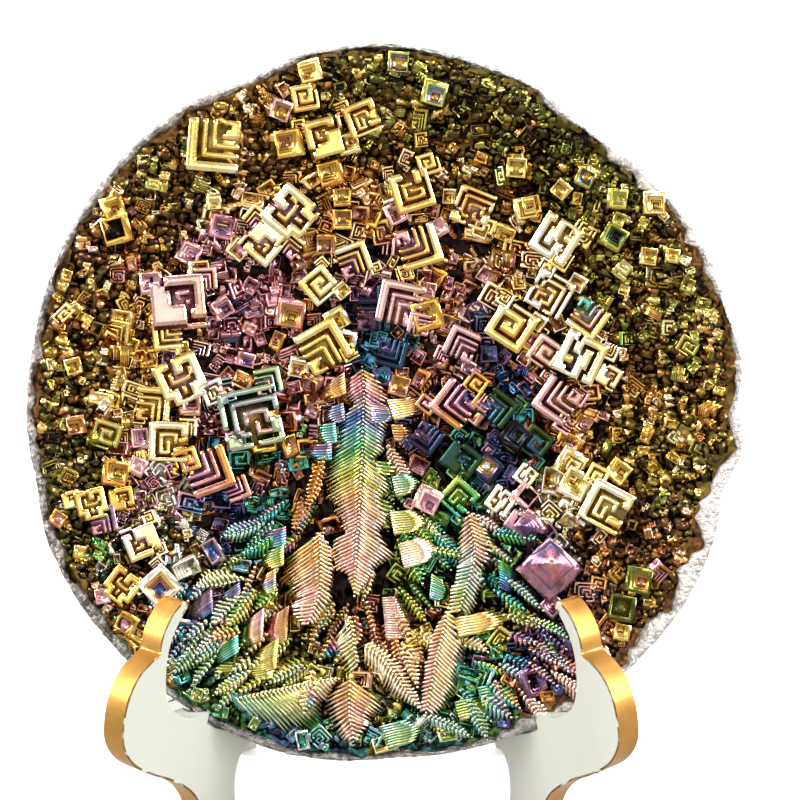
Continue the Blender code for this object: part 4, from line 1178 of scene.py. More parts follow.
# The ground is nearly black in the middle, as painted shade between the crystals, and glassy brown towards
# the rim, except at the bottom. The brown at these angles is an amber above 1 and an olive below it.
GROUND_DARK_TO = 50.0
GROUND_BROWN_ABOVE = -44.0
GROUND_FILMS = (
    (0, 1.03), (10, 1.07), (28, 1.04), (45, 0.96), (80, 0.97), (105, 1.04), (140, 1.08), (184, 1.06),
    (193, 0.94), (207, 0.92), (215, 1.07), (320, 1.08), (338, 1.07), (348, 0.95), (355, 0.97),
    (360, 1.03),
)
# The ground ends this far inside the rim, and its colour is drawn for patches of this many squares' side.
GROUND_EDGE = 1.2
GROUND_PATCH = 5
# Its roughness: how high each kind of noise is, and what a place is multiplied by before it is looked up.
BROAD_HEIGHT, BROAD_SCALE = 0.9, 0.09
CELL_HEIGHT, CELL_SCALE = 0.6, 0.42
FINE_HEIGHT, FINE_SCALE = 0.5, 0.83
PEBBLE_HEIGHT, PEBBLE_SCALE = 0.45, 0.55
GROUND_LOWERED = 0.5
GROUND_HIGHEST = -0.9
# The paleness of the glassy brown and of the ground's edge elsewhere, each with what chance adds to it, and
# of the ground in the middle, which is painted shade between the crystals.
GLASSY_SHADE, GLASSY_SPREAD = -0.86, 0.12
EDGE_SHADE, EDGE_SPREAD = -0.55, -0.35
MIDDLE_PAINTED_SHADE = -1.0


def lining_height(across, up):
    """The ground's height over the face, with square steps a little turned, as the crystals are."""
    distance = math.hypot(across, up)
    broad = noise.noise(Vector((across * BROAD_SCALE, up * BROAD_SCALE, 3.7)))
    turned = (across * 0.92 + up * 0.39, up * 0.92 - across * 0.39)
    cells = noise.cell(Vector((turned[0] * CELL_SCALE, turned[1] * CELL_SCALE, 1.0)))
    fine = noise.cell(Vector((turned[0] * FINE_SCALE, turned[1] * FINE_SCALE, 5.0)))
    pebbles = noise.fractal(Vector((across * PEBBLE_SCALE, up * PEBBLE_SCALE, 9.0)), 0.8, 2.0, 3)
    return (crust_depth(distance) + BROAD_HEIGHT * broad + CELL_HEIGHT * cells + FINE_HEIGHT * fine
            + PEBBLE_HEIGHT * pebbles - GROUND_LOWERED)


def make_lining(gather):
    """The ground that the crystals stand on, in low square steps."""
    chance = random.Random(SEED + 4)
    count = int(2 * DISC_RADIUS / LINING_STEP)
    index = {}
    points, faces, film, pale = [], [], [], []

    def point(i, j):
        if (i, j) not in index:
            across, up = -DISC_RADIUS + i * LINING_STEP, -DISC_RADIUS + j * LINING_STEP
            index[i, j] = len(points)
            points.append((across, up, min(lining_height(across, up), GROUND_HIGHEST)))
        return index[i, j]

    patch = {}
    for i, j in itertools.product(range(count), repeat=2):
        across, up = -DISC_RADIUS + (i + 0.5) * LINING_STEP, -DISC_RADIUS + (j + 0.5) * LINING_STEP
        distance = math.hypot(across, up)
        angle = math.degrees(math.atan2(up, across))
        if distance > rim_radius(angle) - GROUND_EDGE:
            continue
        faces.append((point(i, j), point(i + 1, j), point(i + 1, j + 1), point(i, j + 1)))
        key = (i // GROUND_PATCH, j // GROUND_PATCH)
        if key not in patch:
            patch[key] = OXIDES[zone_oxide(across, up, chance)]
        if distance + 3 * chance.random() > GROUND_DARK_TO and up > GROUND_BROWN_ABOVE:
            film.append(angle_list(GROUND_FILMS, angle) + chance.gauss(0, 0.02))
            pale.append(GLASSY_SHADE + GLASSY_SPREAD * chance.random())
        else:
            film.append(patch[key][0])
            edge = distance > GROUND_DARK_TO
            # The ground in the middle takes the darkest painted shade.
            pale.append(EDGE_SHADE + EDGE_SPREAD * chance.random() if edge else MIDDLE_PAINTED_SHADE)
    gather.add(IDENTITY, points, faces, film, pale)


FACET_SPACING = 1.55
FACET_SIDES = (1.4, 3.2)
FACET_LENGTH = 0.8
FACET_DEPTH = 1.6
FACET_RISES = (0.1, 0.8)
FACET_HIGHEST = -0.5
# From where there are facets, as a distance and what chance adds to it, and where they end inside the lip.
FACETS_FROM = 45.0
FACETS_FROM_SPREAD = 6
FACETS_END = 0.4
FACET_LEAN = 24
FACET_LEAN_MOST = 50
FACET_TURN, FACET_TURN_SPREAD = -8, 22
FACET_TONES = (-0.92, -0.9, -0.88, -0.85, -0.82, -0.75, -0.55, 0.15)
FACETS_IN_ZONE_COLOURS = 0.35


def make_rim_facets(gather):
    """Small leaning cube ends that cover the ground towards the rim."""
    chance = random.Random(SEED + 6)
    count = int(2 * DISC_RADIUS / FACET_SPACING)
    for i, j in itertools.product(range(count), repeat=2):
        across = (i + chance.random()) * FACET_SPACING - DISC_RADIUS
        up = (j + chance.random()) * FACET_SPACING - DISC_RADIUS
        distance = math.hypot(across, up)
        angle = math.degrees(math.atan2(up, across))
        edge = rim_radius(angle) - angle_list(LIP_WIDTHS, angle) - FACETS_END
        half = chance.uniform(*FACET_SIDES) / 2
        if distance < FACETS_FROM + FACETS_FROM_SPREAD * chance.random() or distance > edge - half:
            continue
        top = min(lining_height(across, up) + chance.uniform(*FACET_RISES), FACET_HIGHEST)
        lean = math.radians(min(FACET_LEAN_MOST, abs(chance.gauss(0, FACET_LEAN))))
        turn = math.radians(chance.gauss(FACET_TURN, FACET_TURN_SPREAD))
        matrix = standing(across, up, top, turn, lean, chance.uniform(0, 2 * math.pi))
        film = angle_list(GROUND_FILMS, angle)
        if chance.random() < FACETS_IN_ZONE_COLOURS or up < GROUND_BROWN_ABOVE:
            film = OXIDES[zone_oxide(across, up, chance)][0]
        tone = chance.choice(FACET_TONES)
        points = block(-half, half, -half * FACET_LENGTH, half * FACET_LENGTH, -FACET_DEPTH, 0.0)
        # Their sides are painted darker than their tops: painted shade.
        gather.add(matrix, points, BOX_FACES, film + chance.gauss(0, 0.02), [-0.9, tone] + [tone - 0.25] * 4)


SHELL_SEGMENTS = 420
# The shell's inside, below the crust: where it begins, its depth there, how much deeper the middle is, and
# the distances of its points. The last are those on its flat back.
SHELL_REACH = 71.0
SHELL_EDGE_DEPTH = 2.5
SHELL_BOWL_DEPTH = 18.5
SHELL_INSIDE_RADII = (66.0, 55.0, 42.0, 28.0, 13.0)
SHELL_BACK_RADII = (40.0, 24.0, 8.0)
# The lip: how much its width varies, the least share that is left of it, and how far each kind of roughness
# moves its surface, inwards and down.
LIP_RAGGEDNESS = 0.9
LIP_LEAST = 0.45
ROUGH_IN, ROUGH_DOWN = 0.75, 0.4
JAGGED_IN, JAGGED_DOWN = 0.5, 0.6
BACK_IN, BACK_OUT = 0.9, 0.6
# Which points of the section are on the lip, on its rugged edge and on the shell's back, counted from inside.
LIP_FROM = 6
LIP_EDGE_FROM = 9
BACK_FROM = 14


def shell_depth(distance):
    share = min(distance, SHELL_REACH) / SHELL_REACH
    return -(SHELL_EDGE_DEPTH + SHELL_BOWL_DEPTH * (1 - share ** 3))


def shell_profile(angle):
    """The shell's section at an angle, from its deepest inside over the lip to the middle of its back."""
    rim = rim_radius(angle)
    ragged = noise.fractal(Vector((*on_circle(1, angle), 0)) * 9, 0.6, 2.0, 4)
    lip = angle_list(LIP_WIDTHS, angle) * max(LIP_LEAST, 1 + LIP_RAGGEDNESS * ragged)
    section = [(radius, shell_depth(radius)) for radius in reversed(SHELL_INSIDE_RADII)]
    section += [(rim - lip - 0.5, -5.0), (rim - lip - 0.1, -2.2), (rim - lip, -1.1)]
    section += [(rim - lip * 0.86, -0.55), (rim - lip * 0.6, -0.3), (rim - max(1.0, lip * 0.4), -0.2)]
    section += [(rim - inset, depth) for inset, depth in SHELL_OUTSIDE]
    return section + [(radius, -SHELL_DEPTH) for radius in SHELL_BACK_RADII]


def make_shell(material):
    """The cast bowl with its rough lip."""
    points, faces, paleness = [], [], []
    length = len(shell_profile(0))
    for step in range(SHELL_SEGMENTS):
        angle = 360 * step / SHELL_SEGMENTS
        for level, (radius, depth) in enumerate(shell_profile(angle)):
            spot = Vector((*on_circle(radius, angle), depth * 1.4))
            rough = abs(noise.fractal(spot * 0.35, 0.9, 2.1, 4)) * 0.5
            jagged = abs(noise.noise(spot * 0.9)) * 0.7
            if LIP_FROM <= level < BACK_FROM:
                radius -= ROUGH_IN * rough + JAGGED_IN * jagged * (level >= LIP_EDGE_FROM)
                depth -= JAGGED_DOWN * jagged + ROUGH_DOWN * rough
            elif level >= BACK_FROM:
                radius -= BACK_IN * rough
                depth += BACK_OUT * rough
            points.append((*on_circle(radius, angle), depth))
            paleness.append(angle_list(LIP_PALENESS, angle) if level < BACK_FROM else -1.0)
    for step in range(SHELL_SEGMENTS):
        after = (step + 1) % SHELL_SEGMENTS
        for level in range(length - 1):
            faces.append((step * length + level, after * length + level,
                          after * length + level + 1, step * length + level + 1))
    middle_front = len(points)
    points += [(0, 0, shell_depth(0)), (0, 0, -SHELL_DEPTH)]
    paleness += [0.0, -1.0]
    built = bmesh.new()
    corners = [built.verts.new(DISC_FRAME @ Vector(point)) for point in points]
    for face in faces:
        built.faces.new([corners[i] for i in face])
    for step in range(SHELL_SEGMENTS):
        after = (step + 1) % SHELL_SEGMENTS
        built.faces.new((corners[middle_front], corners[after * length], corners[step * length]))
        built.faces.new((corners[middle_front + 1], corners[step * length + length - 1],
                         corners[after * length + length - 1]))
    bmesh.ops.recalc_face_normals(built, faces=built.faces)
    for face in built.faces:
        face.smooth = True
    mesh = finished(built, "bismuth_shell_cast")
    mesh.attributes.new("pale", "FLOAT", "POINT").data.foreach_set("value", paleness)
    mesh.materials.append(material)
    return new_object("bismuth_shell_cast", mesh)


# ---------------------------------------------------------------------------------------------------------
# The stand: the CAD's two panels again, with round edges and gold along their outer edges.

STAND_ACROSS = -2.1
PANEL_THICKNESS = 6.0
PANEL_TURN = math.radians(45)
PANEL_ROUND = 0.8
# A panel's flat sides are the faces whose normals point this squarely out of it.
PANEL_FLAT = 0.99
# The gilding's thickness, and how it is shared: at -1 all of it lies under the panel's face, at 1 over it.
GILDING_THICKNESS = 0.5
GILDING_OFFSET = -0.7
# A panel's outline, from the front foot under the arch to the back foot, up the back, down the seat and round
# the hook: the colour of each stretch, and points on it as distances along the panel and up.
PANEL_RUNS = (
    ("white", ((-57.5, 0.0), (-36.5, 0.0))),
    ("white", ((-36.5, 0.0), (-38.5, 4.0), (-43.0, 9.0), (-44.3, 15.0), (-43.4, 21.5), (-40.0, 25.2),
               (-32.0, 26.3), (-16.0, 27.2), (0.0, 27.6), (20.0, 26.0), (34.0, 20.0), (41.0, 11.0),
               (44.0, 0.0))),
    ("white", ((44.0, 0.0), (72.3, 0.0))),
    ("gold", ((72.3, 0.0), (73.3, 2.6), (71.3, 6.0), (62.0, 11.0), (52.0, 20.0), (43.0, 35.0), (35.5, 54.0),
              (29.5, 73.0), (25.0, 87.0), (18.0, 93.5))),
    ("white", ((18.0, 93.5), (9.0, 93.0), (1.0, 84.0), (-6.0, 62.0), (-14.0, 46.0),
               (-26.0, 38.0), (-42.0, 36.0), (-54.5, 34.9), (-58.2, 36.0), (-60.9, 38.2), (-62.0, 41.5),
               (-62.1, 45.5), (-61.4, 50.0), (-59.8, 54.0), (-57.2, 57.6))),
    ("gold", ((-57.2, 57.6), (-55.9, 59.4), (-57.2, 60.2), (-60.0, 58.2), (-62.6, 54.4), (-63.7, 50.6))),
    ("gold", ((-63.7, 50.6), (-68.6, 47.6), (-71.8, 43.2), (-73.4, 37.6), (-73.4, 33.0), (-71.0, 28.8),
              (-66.5, 25.5), (-60.8, 22.4), (-55.6, 18.0), (-53.2, 12.0), (-54.8, 6.0), (-58.2, 2.6),
              (-57.5, 0.0))),
)
POINTS_PER_SPAN = 6
# The half-lap slot: how high it reaches up the right panel and down the left one, and its clearance.
CROSSING_HEIGHT = 41.0
SLOT_CLEARANCE = 0.3
SLOT_TOP = 120.0
SLOT_FOOT = -10.0
# The seats: the geode's outside, as steps in from the rim and out of the face, and the gap left round it.
SEAT_PROFILE = ((0.0, -1.2), (0.8, -8.0), (5.0, -17.0), (12.0, -24.0), (22.0, -SHELL_DEPTH))
GAP = 0.35
ENVELOPE_SEGMENTS = 144
EDGE_ANGLE = math.radians(32)


def smooth_run(points):
    """Points on a smooth curve through these, without the last."""
    if len(points) == 2:
        return [points[0]]
    ends = [points[0], *points, points[-1]]
    run = []
    for before, start, end, after in zip(ends, ends[1:], ends[2:], ends[3:]):
        for step in range(POINTS_PER_SPAN):
            t = step / POINTS_PER_SPAN
            run.append(tuple(
                0.5 * (2 * b + (c - a) * t + (2 * a - 5 * b + 4 * c - d) * t * t
                       + (3 * b - a - 3 * c + d) * t ** 3)
                for a, b, c, d in zip(before, start, end, after)
            ))
    return run


def panel_frame(side):
    """The matrix of a panel's own frame, in millimetres: X along it, Y up and Z through it."""
    turn = PANEL_TURN if side == "left" else math.pi - PANEL_TURN
    across = Vector((math.cos(turn), math.sin(turn), 0))
    through = across.cross(Vector((0, 0, 1)))
    axes = Matrix((across, Vector((0, 0, 1)), through)).transposed().to_4x4()
    return Matrix.Scale(MM, 4) @ Matrix.Translation((STAND_ACROSS, 0, 0)) @ axes


def envelope_cutter():
    """A little more than the geode's outside, which the seats are cut to."""
    built = bmesh.new()
    rings = []
    for inset, depth in [(0.0, GAP)] + [(inset - GAP, depth - GAP) for inset, depth in SEAT_PROFILE]:
        ring = []
        for step in range(ENVELOPE_SEGMENTS):
            angle = 360 * step / ENVELOPE_SEGMENTS
            place = (*on_circle(rim_radius(angle) - inset, angle), depth)
            ring.append(built.verts.new(DISC_FRAME @ Vector(place)))
        rings.append(ring)
    for low, high in zip(rings, rings[1:]):
        for step in range(ENVELOPE_SEGMENTS):
            after = (step + 1) % ENVELOPE_SEGMENTS
            built.faces.new((low[step], low[after], high[after], high[step]))
    built.faces.new(rings[0])
    built.faces.new(rings[-1])
    return cutter("geode_envelope", built)


def cutter(name, built):
    """A shape that the panels are cut by. It is dropped again afterwards."""
    bmesh.ops.recalc_face_normals(built, faces=built.faces)
    made = new_object(name, finished(built, name))
    made.hide_render = True
    return made


def slot_cutter(side, frame_matrix):
    """The box that cuts a panel's half of the lap, through the panel's whole thickness."""
    half = PANEL_THICKNESS / 2 + SLOT_CLEARANCE
    left = (CROSSING_HEIGHT, SLOT_TOP)
    low, high = left if side == "left" else (SLOT_FOOT, CROSSING_HEIGHT + SLOT_CLEARANCE)
    built = bmesh.new()
    corners = [built.verts.new(frame_matrix @ Vector(point))
               for point in block(-half, half, low, high, -half - 3, half + 3)]
    for face in BOX_FACES:
        built.faces.new([corners[i] for i in face])
    return cutter(f"slot_{side}", built)


def apply_modifiers(thing):
    """Makes a piece's mesh what its modifiers show, and drops them."""
    graph = bpy.context.evaluated_depsgraph_get()
    shown = thing.evaluated_get(graph)
    mesh = bpy.data.meshes.new_from_object(shown, preserve_all_data_layers=True, depsgraph=graph)
    thing.modifiers.clear()
    thing.data = mesh


def make_panel(side, white, gold, envelope):
    """One panel with rounded edges. The faces to be gilded, on its outer edges, have the second material."""
    name = f"stand_panel_{side}_glazed"
    outline, golden = [], []
    for colour, run in PANEL_RUNS:
        points = smooth_run(run)
        outline += points
        golden += [colour == "gold"] * len(points)
    built = bmesh.new()
    near = [built.verts.new((s, z, -PANEL_THICKNESS / 2)) for s, z in outline]
    far = [built.verts.new((s, z, PANEL_THICKNESS / 2)) for s, z in outline]
    faces = [built.faces.new(near), built.faces.new(far)]
    rims = [edge for face in faces for edge in face.edges]
    for index in range(len(outline)):
        after = (index + 1) % len(outline)
        built.faces.new((near[index], near[after], far[after], far[index]))
    bmesh.ops.bevel(built, geom=rims, offset=PANEL_ROUND, segments=3, profile=0.5, affect="EDGES",
                    clamp_overlap=True)
    bmesh.ops.recalc_face_normals(built, faces=built.faces)
    outline = np.array(outline)
    middles = (outline + np.roll(outline, -1, axis=0)) / 2
    for face in built.faces:
        face.smooth = True
        nearest = np.argmin(np.hypot(*(middles - face.calc_center_median().xy).T))
        face.material_index = int(abs(face.normal.z) < PANEL_FLAT and golden[nearest])
    matrix = panel_frame(side)
    built.transform(matrix)
    bmesh.ops.recalc_face_normals(built, faces=built.faces)
    mesh = finished(built, name)
    mesh.materials.append(white)
    mesh.materials.append(gold)
    panel = new_object(name, mesh)
    for other in (slot_cutter(side, matrix), envelope):
        cut = panel.modifiers.new("cut", "BOOLEAN")
        cut.solver = "EXACT"
        cut.operation = "DIFFERENCE"
        cut.object = other
    bpy.context.view_layer.update()
    apply_modifiers(panel)
    return panel


def make_gilding(side, panel, gold):
    """The gold over a panel's outer edges, as a thin band of its own. The panel itself is left all white."""
    name = f"stand_panel_{side}_gilded"
    mesh = panel.data.copy()
    mesh.name = name
    built = bmesh.new()
    built.from_mesh(mesh)
    bmesh.ops.delete(built, geom=[face for face in built.faces if face.material_index == 0], context="FACES")
    built.to_mesh(mesh)
    built.free()
    mesh.materials.clear()
    mesh.materials.append(gold)
    band = new_object(name, mesh)
    skin = band.modifiers.new("skin", "SOLIDIFY")
    skin.thickness = GILDING_THICKNESS * MM
    skin.offset = GILDING_OFFSET
    bpy.context.view_layer.update()
    apply_modifiers(band)
    for vertex in band.data.vertices:
        vertex.co.z = max(vertex.co.z, 0.0)
    panel.data.polygons.foreach_set("material_index", [0] * len(panel.data.polygons))
    panel.data.materials.pop(index=1)
    for thing in (panel, band):
        thing.data.set_sharp_from_angle(angle=EDGE_ANGLE)
    through = panel_frame(side).to_3x3().col[2].normalized()
    for polygon in panel.data.polygons:
        polygon.use_smooth = abs(polygon.normal.dot(through)) < PANEL_FLAT
    return band


# ---------------------------------------------------------------------------------------------------------
# Materials.

def socket(shader, name, value):
    shader.inputs[name].default_value = value


def new_material(name):
    material = bpy.data.materials.new(name)
    material.use_nodes = True
    tree = material.node_tree
    return material, tree, tree.nodes["Principled BSDF"]


def node(tree, kind, **values):
    made = tree.nodes.new(kind)
    for key, value in values.items():
        setattr(made, key, value)
    return made


def noise_at(tree, scale, detail=3.0):
    """A noise over the object's own coordinates, in metres."""
    coordinates = node(tree, "ShaderNodeTexCoord")
    texture = node(tree, "ShaderNodeTexNoise")
    socket(texture, "Scale", scale)
    socket(texture, "Detail", detail)
    tree.links.new(coordinates.outputs["Object"], texture.inputs["Vector"])
    return texture.outputs["Fac"]


def math_node(tree, operation, first, second, third=None):
    made = node(tree, "ShaderNodeMath", operation=operation)
    for index, value in enumerate((first, second, third)):
        if value is None:
            continue
        if isinstance(value, (int, float)):
            made.inputs[index].default_value = value
        else:
            tree.links.new(value, made.inputs[index])
    return made.outputs[0]


def ramp(tree, value, stops):
    made = node(tree, "ShaderNodeValToRGB")
    elements = made.color_ramp.elements
    while len(elements) > 1:
        elements.remove(elements[-1])
    elements[0].position = stops[0][0]
    elements[0].color = (*stops[0][1], 1.0)
    for place, colour in stops[1:]:
        elements.new(place).color = (*colour, 1.0)
    tree.links.new(value, made.inputs["Fac"])
    return made.outputs["Color"]


def mixed(tree, factor, first, second):
    made = node(tree, "ShaderNodeMix", data_type="RGBA")
    tree.links.new(factor, made.inputs["Factor"])
    for name, value in (("A", first), ("B", second)):
        target = [s for s in made.inputs if s.name == name and s.type == "RGBA"][0]
        if isinstance(value, tuple):
            target.default_value = (*value, 1.0)
        else:
            tree.links.new(value, target)
    return [s for s in made.outputs if s.type == "RGBA"][0]


def roughness_from(tree, pattern, spread, least, shader):
    """Roughness that a pattern raises above its least value."""
    value = math_node(tree, "MULTIPLY_ADD", pattern, spread, least)
    tree.links.new(value, shader.inputs["Roughness"])


def bump(tree, height, strength, distance, shader):
    made = node(tree, "ShaderNodeBump")
    socket(made, "Strength", strength)
    socket(made, "Distance", distance)
    tree.links.new(height, made.inputs["Height"])
    tree.links.new(made.outputs["Normal"], shader.inputs["Normal"])


OXIDE_RAMP = (
    (0.00, (0.88, 0.85, 0.81)), (0.06, (0.92, 0.86, 0.66)), (0.11, (0.90, 0.74, 0.34)),
    (0.16, (0.84, 0.62, 0.15)), (0.21, (0.74, 0.44, 0.09)), (0.27, (0.66, 0.32, 0.07)),
    (0.33, (0.46, 0.20, 0.095)), (0.39, (0.78, 0.38, 0.42)), (0.45, (0.55, 0.24, 0.31)),
    (0.51, (0.22, 0.12, 0.20)), (0.57, (0.085, 0.105, 0.28)), (0.63, (0.11, 0.28, 0.50)),
    (0.69, (0.08, 0.40, 0.38)), (0.75, (0.08, 0.34, 0.13)), (0.81, (0.20, 0.40, 0.09)),
    (0.88, (0.48, 0.50, 0.10)), (0.95, (0.54, 0.45, 0.10)), (1.00, (0.64, 0.42, 0.09)),
)
PALE_OXIDE = (0.86, 0.76, 0.57)
# Dark oxide, and the painted shade of walls, pits, channels and the ground between the crystals.
DARK_OXIDE_AND_SHADE = (0.014, 0.009, 0.008)
# The lip's broken metal, its tints and its whitest parts, and the smoother cast back.
BROKEN_RAMP = ((0.38, (0.035, 0.032, 0.030)), (0.48, (0.17, 0.16, 0.15)), (0.60, (0.44, 0.42, 0.40)))
TINT_RAMP = ((0.40, (0.42, 0.41, 0.40)), (0.62, (0.55, 0.42, 0.36)))
LIP_WHITE = (0.90, 0.88, 0.86)
CAST_RAMP = ((0.35, (0.30, 0.29, 0.285)), (0.65, (0.42, 0.40, 0.385)))
GLAZE_RAMP = ((0.35, (0.40, 0.415, 0.365)), (0.65, (0.45, 0.465, 0.41)))
GOLD_RAMP = ((0.35, (0.56, 0.29, 0.07)), (0.65, (0.66, 0.36, 0.10)))
STAGE_RAMP = ((0.3, (0.86, 0.86, 0.86)), (0.7, (0.90, 0.90, 0.90)))


def crystal_material(name, roughness):
    material, tree, shader = new_material(name)
    film = node(tree, "ShaderNodeAttribute", attribute_name="film").outputs["Fac"]
    pale = node(tree, "ShaderNodeAttribute", attribute_name="pale").outputs["Fac"]
    patches = math_node(tree, "MULTIPLY_ADD", noise_at(tree, 210.0, 2.0), 0.20, -0.10)
    specks = math_node(tree, "MULTIPLY_ADD", noise_at(tree, 1600.0, 2.0), 0.07, -0.035)
    thickness = math_node(tree, "ADD", math_node(tree, "ADD", film, patches), specks)
    past = math_node(tree, "MULTIPLY", math_node(tree, "GREATER_THAN", thickness, 1.0), -SECOND_ORDER)
    colour = ramp(tree, math_node(tree, "ADD", thickness, past), OXIDE_RAMP)
    paleness = math_node(tree, "MULTIPLY", math_node(tree, "MAXIMUM", pale, 0.0),
                         math_node(tree, "ADD", noise_at(tree, 500.0), 0.5))
    colour = mixed(tree, paleness, colour, PALE_OXIDE)
    # Below 0 the paleness darkens: partly dark oxide, partly painted shade.
    darkness = math_node(tree, "MAXIMUM", math_node(tree, "MULTIPLY", pale, -1.0), 0.0)
    colour = mixed(tree, darkness, colour, DARK_OXIDE_AND_SHADE)
    tree.links.new(colour, shader.inputs["Base Color"])
    socket(shader, "Metallic", 1.0)
    roughness_from(tree, noise_at(tree, 900.0), 0.16, roughness, shader)
    bump(tree, noise_at(tree, 1900.0, 4.0), 0.25, 0.0002, shader)
    return material


def cast_material():
    """Cast bismuth: broken and glittering on the lip, where "pale" is 0 or more, and smoother on the back."""
    material, tree, shader = new_material("cast_bismuth")
    pale = node(tree, "ShaderNodeAttribute", attribute_name="pale").outputs["Fac"]
    back = math_node(tree, "MULTIPLY", math_node(tree, "MINIMUM", pale, 0.0), -1.0)
    grain = noise_at(tree, 900.0, 6.0)
    broken = ramp(tree, grain, BROKEN_RAMP)
    tint = ramp(tree, noise_at(tree, 60.0, 2.0), TINT_RAMP)
    patch = math_node(tree, "MULTIPLY", noise_at(tree, 45.0, 2.0), 0.45)
    broken = mixed(tree, patch, broken, tint)
    white = math_node(tree, "MULTIPLY", math_node(tree, "MAXIMUM", pale, 0.0),
                      math_node(tree, "MULTIPLY_ADD", noise_at(tree, 350.0, 4.0), 2.2, -0.35))
    broken = mixed(tree, white, broken, LIP_WHITE)
    smooth = ramp(tree, noise_at(tree, 110.0, 5.0), CAST_RAMP)
    tree.links.new(mixed(tree, back, broken, smooth), shader.inputs["Base Color"])
    socket(shader, "Metallic", 0.8)
    roughness_from(tree, grain, 0.35, 0.25, shader)
    relief = math_node(tree, "MULTIPLY_ADD", back, -0.75, 1.0)
    depth = math_node(tree, "MULTIPLY", noise_at(tree, 1200.0, 6.0), relief)
    bump(tree, depth, 1.0, 0.001, shader)
    return material


def glaze_material():
    material, tree, shader = new_material("stand_white")
    colour = ramp(tree, noise_at(tree, 35.0, 2.0), GLAZE_RAMP)
    tree.links.new(colour, shader.inputs["Base Color"])
    roughness_from(tree, noise_at(tree, 120.0), 0.10, 0.14, shader)
    socket(shader, "Coat Weight", 0.4)
    socket(shader, "Coat Roughness", 0.06)
    bump(tree, noise_at(tree, 90.0, 2.0), 0.08, 0.0006, shader)
    return material


def gold_material():
    material, tree, shader = new_material("stand_gold")
    colour = ramp(tree, noise_at(tree, 130.0, 4.0), GOLD_RAMP)
    tree.links.new(colour, shader.inputs["Base Color"])
    socket(shader, "Metallic", 1.0)
    roughness_from(tree, noise_at(tree, 600.0), 0.12, 0.24, shader)
    bump(tree, noise_at(tree, 1500.0, 3.0), 0.10, 0.0002, shader)
    return material


def stage_material():
    material, tree, shader = new_material("pale_stage")
    colour = ramp(tree, noise_at(tree, 3.0, 2.0), STAGE_RAMP)
    tree.links.new(colour, shader.inputs["Base Color"])
    socket(shader, "Roughness", 0.9)
    return material


# ---------------------------------------------------------------------------------------------------------
# Stage, light and camera.

CAMERA_DISTANCE = 460.0
SENSOR = 36.0
# The stage, in metres: where it starts in front, where and how widely it bends up, and its size.
STAGE_FRONT = -1.6
STAGE_BEND_AT = 0.55
STAGE_BEND = 0.4
STAGE_TOP = 1.8
STAGE_HALF_WIDTH = 2.2
WORLD_COLOUR = (0.98, 0.93, 0.88, 1.0)
WORLD_STRENGTH = 0.75


def make_stage(material):
    """A floor that turns up into a backdrop."""
    profile = [(STAGE_FRONT, 0.0), (STAGE_BEND_AT, 0.0)]
    for turn in np.linspace(0.1, math.pi / 2, 12):
        across, up = STAGE_BEND * math.sin(turn), STAGE_BEND * math.cos(turn)
        profile.append((STAGE_BEND_AT + across, STAGE_BEND - up))
    profile.append((STAGE_BEND_AT + STAGE_BEND, STAGE_TOP))
    points = [(x, y, z) for y, z in profile for x in (-STAGE_HALF_WIDTH, STAGE_HALF_WIDTH)]
    faces = [(2 * i, 2 * i + 1, 2 * i + 3, 2 * i + 2) for i in range(len(profile) - 1)]
    mesh = bpy.data.meshes.new("stage")
    mesh.from_pydata(points, [], faces)
    for polygon in mesh.polygons:
        polygon.use_smooth = True
    mesh.materials.append(material)
    made = new_object("stage", mesh)
    made.visible_glossy = False
    return made


def in_disc(across, up, out):
    return DISC_FRAME @ Vector((across, up, out))


def area_light(name, place, target, width, height, power, colour=(1, 1, 1)):
    """A rectangular light that faces a target. Its sides are in metres and its power is in watts."""
    data = bpy.data.lights.new(name, "AREA")
    data.shape = "RECTANGLE"
    data.size = width
    data.size_y = height
    data.energy = power
    data.color = colour
    made = new_object(name, data)
    made.location = place
    made.rotation_euler = (Vector(target) - Vector(place)).to_track_quat("-Z", "Y").to_euler()
    return made


def spare_stage(lights, stage):
    """Keeps these lights off the stage, so that polished edges mirror a darker floor."""
    spared = bpy.data.collections.new("stage_not_lit")
    spared.objects.link(stage)
    spared.collection_objects[0].light_linking.link_state = "EXCLUDE"
    for light in lights:
        light.light_linking.receiver_collection = spared


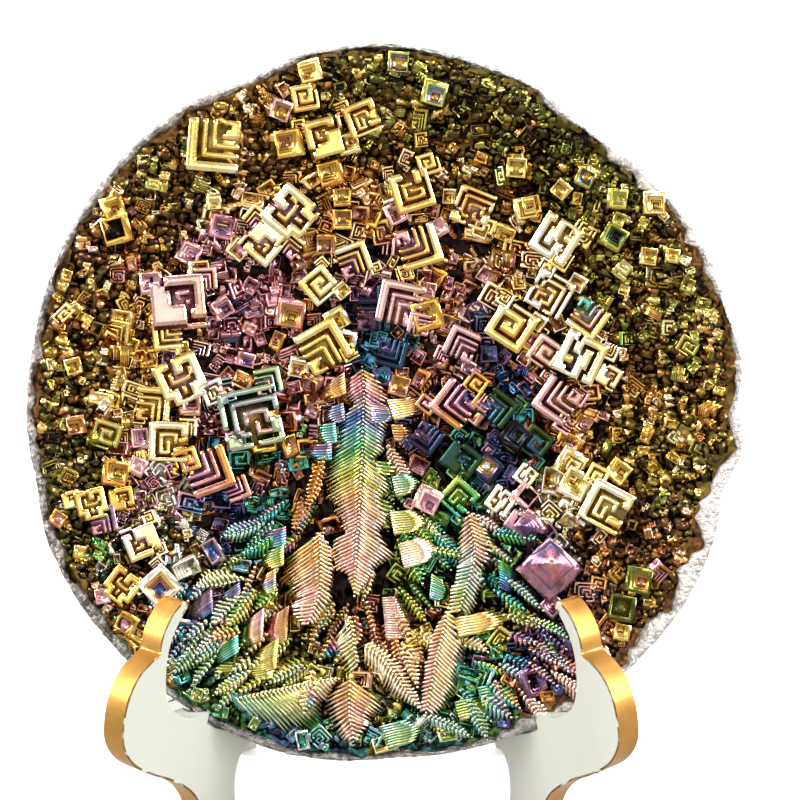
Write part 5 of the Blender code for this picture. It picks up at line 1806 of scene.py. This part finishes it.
def make_lights(stage):
    middle = in_disc(0, 0, 0)
    foot = (0.0, -0.03, 0.05)
    lights = (
        area_light("front_box", in_disc(-10, 60, 560), middle, 0.60, 0.45, 0.9, (1.0, 0.985, 0.95)),
        area_light("key", in_disc(-420, 380, 420), middle, 0.25, 0.25, 1.2, (1.0, 0.98, 0.95)),
        area_light("side", in_disc(480, 120, 300), middle, 0.15, 0.30, 1.0, (0.97, 0.98, 1.0)),
        area_light("left_strip", (-0.45, -0.10, 0.30), foot, 0.14, 0.30, 2.4),
        area_light("right_strip", (0.45, -0.10, 0.30), foot, 0.14, 0.30, 2.4),
    )
    spare_stage(lights, stage)
    area_light("stage_light", (0.0, 0.22, 1.2), (0.0, 0.85, 0.35), 1.8, 0.4, 32.0)
    world = bpy.data.worlds.new("studio")
    world.use_nodes = True
    background = world.node_tree.nodes["Background"]
    background.inputs["Color"].default_value = WORLD_COLOUR
    background.inputs["Strength"].default_value = WORLD_STRENGTH
    bpy.context.scene.world = world


def make_camera():
    data = bpy.data.cameras.new("camera")
    data.sensor_width = SENSOR
    data.lens = SENSOR * CAMERA_DISTANCE / (VIEW_SIDE * VIEW_STEP)
    data.clip_start = 0.01
    camera = new_object("camera", data)
    across = (VIEW_SIDE / 2 - VIEW_DISC[0]) * VIEW_STEP
    up = (VIEW_DISC[1] - VIEW_SIDE / 2) * VIEW_STEP
    camera.location = in_disc(across, up, CAMERA_DISTANCE)
    camera.rotation_euler = (math.radians(90) - DISC_LEAN, 0, 0)
    bpy.context.scene.camera = camera


def add_piece(made, replaced):
    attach(made, "root")
    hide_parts(replaced)


def main():
    bpy.context.scene.view_settings.view_transform = "Standard"
    bright = crystal_material("iridescent_bismuth", 0.05)
    ground = crystal_material("iridescent_ground", 0.16)
    hoppers, inner, outer, dendrites, lining = Facets(), Facets(), Facets(), Facets(), Facets()
    make_hoppers(hoppers)
    make_fill(inner, outer)
    make_dendrites(dendrites)
    make_lining(lining)
    make_rim_facets(lining)
    for name, gather, material in (
        ("crust_hoppers", hoppers, bright), ("crust_small_crystals", inner, bright),
        ("crust_rim_crystals", outer, bright), ("crust_dendrites", dendrites, bright),
        ("crust_ground", lining, ground),
    ):
        add_piece(gather.piece(name, material), "crystal_crust")
    add_piece(make_shell(cast_material()), "bismuth_shell")
    white, gold = glaze_material(), gold_material()
    envelope = envelope_cutter()
    for side in ("left", "right"):
        panel = make_panel(side, white, gold, envelope)
        add_piece(make_gilding(side, panel, gold), f"stand_panel_{side}")
        add_piece(panel, f"stand_panel_{side}")
    for thing in [one for one in bpy.data.objects if one.name.startswith(("slot_", "geode_envelope"))]:
        bpy.data.objects.remove(thing, do_unlink=True)
    make_lights(make_stage(stage_material()))
    make_camera()


main()
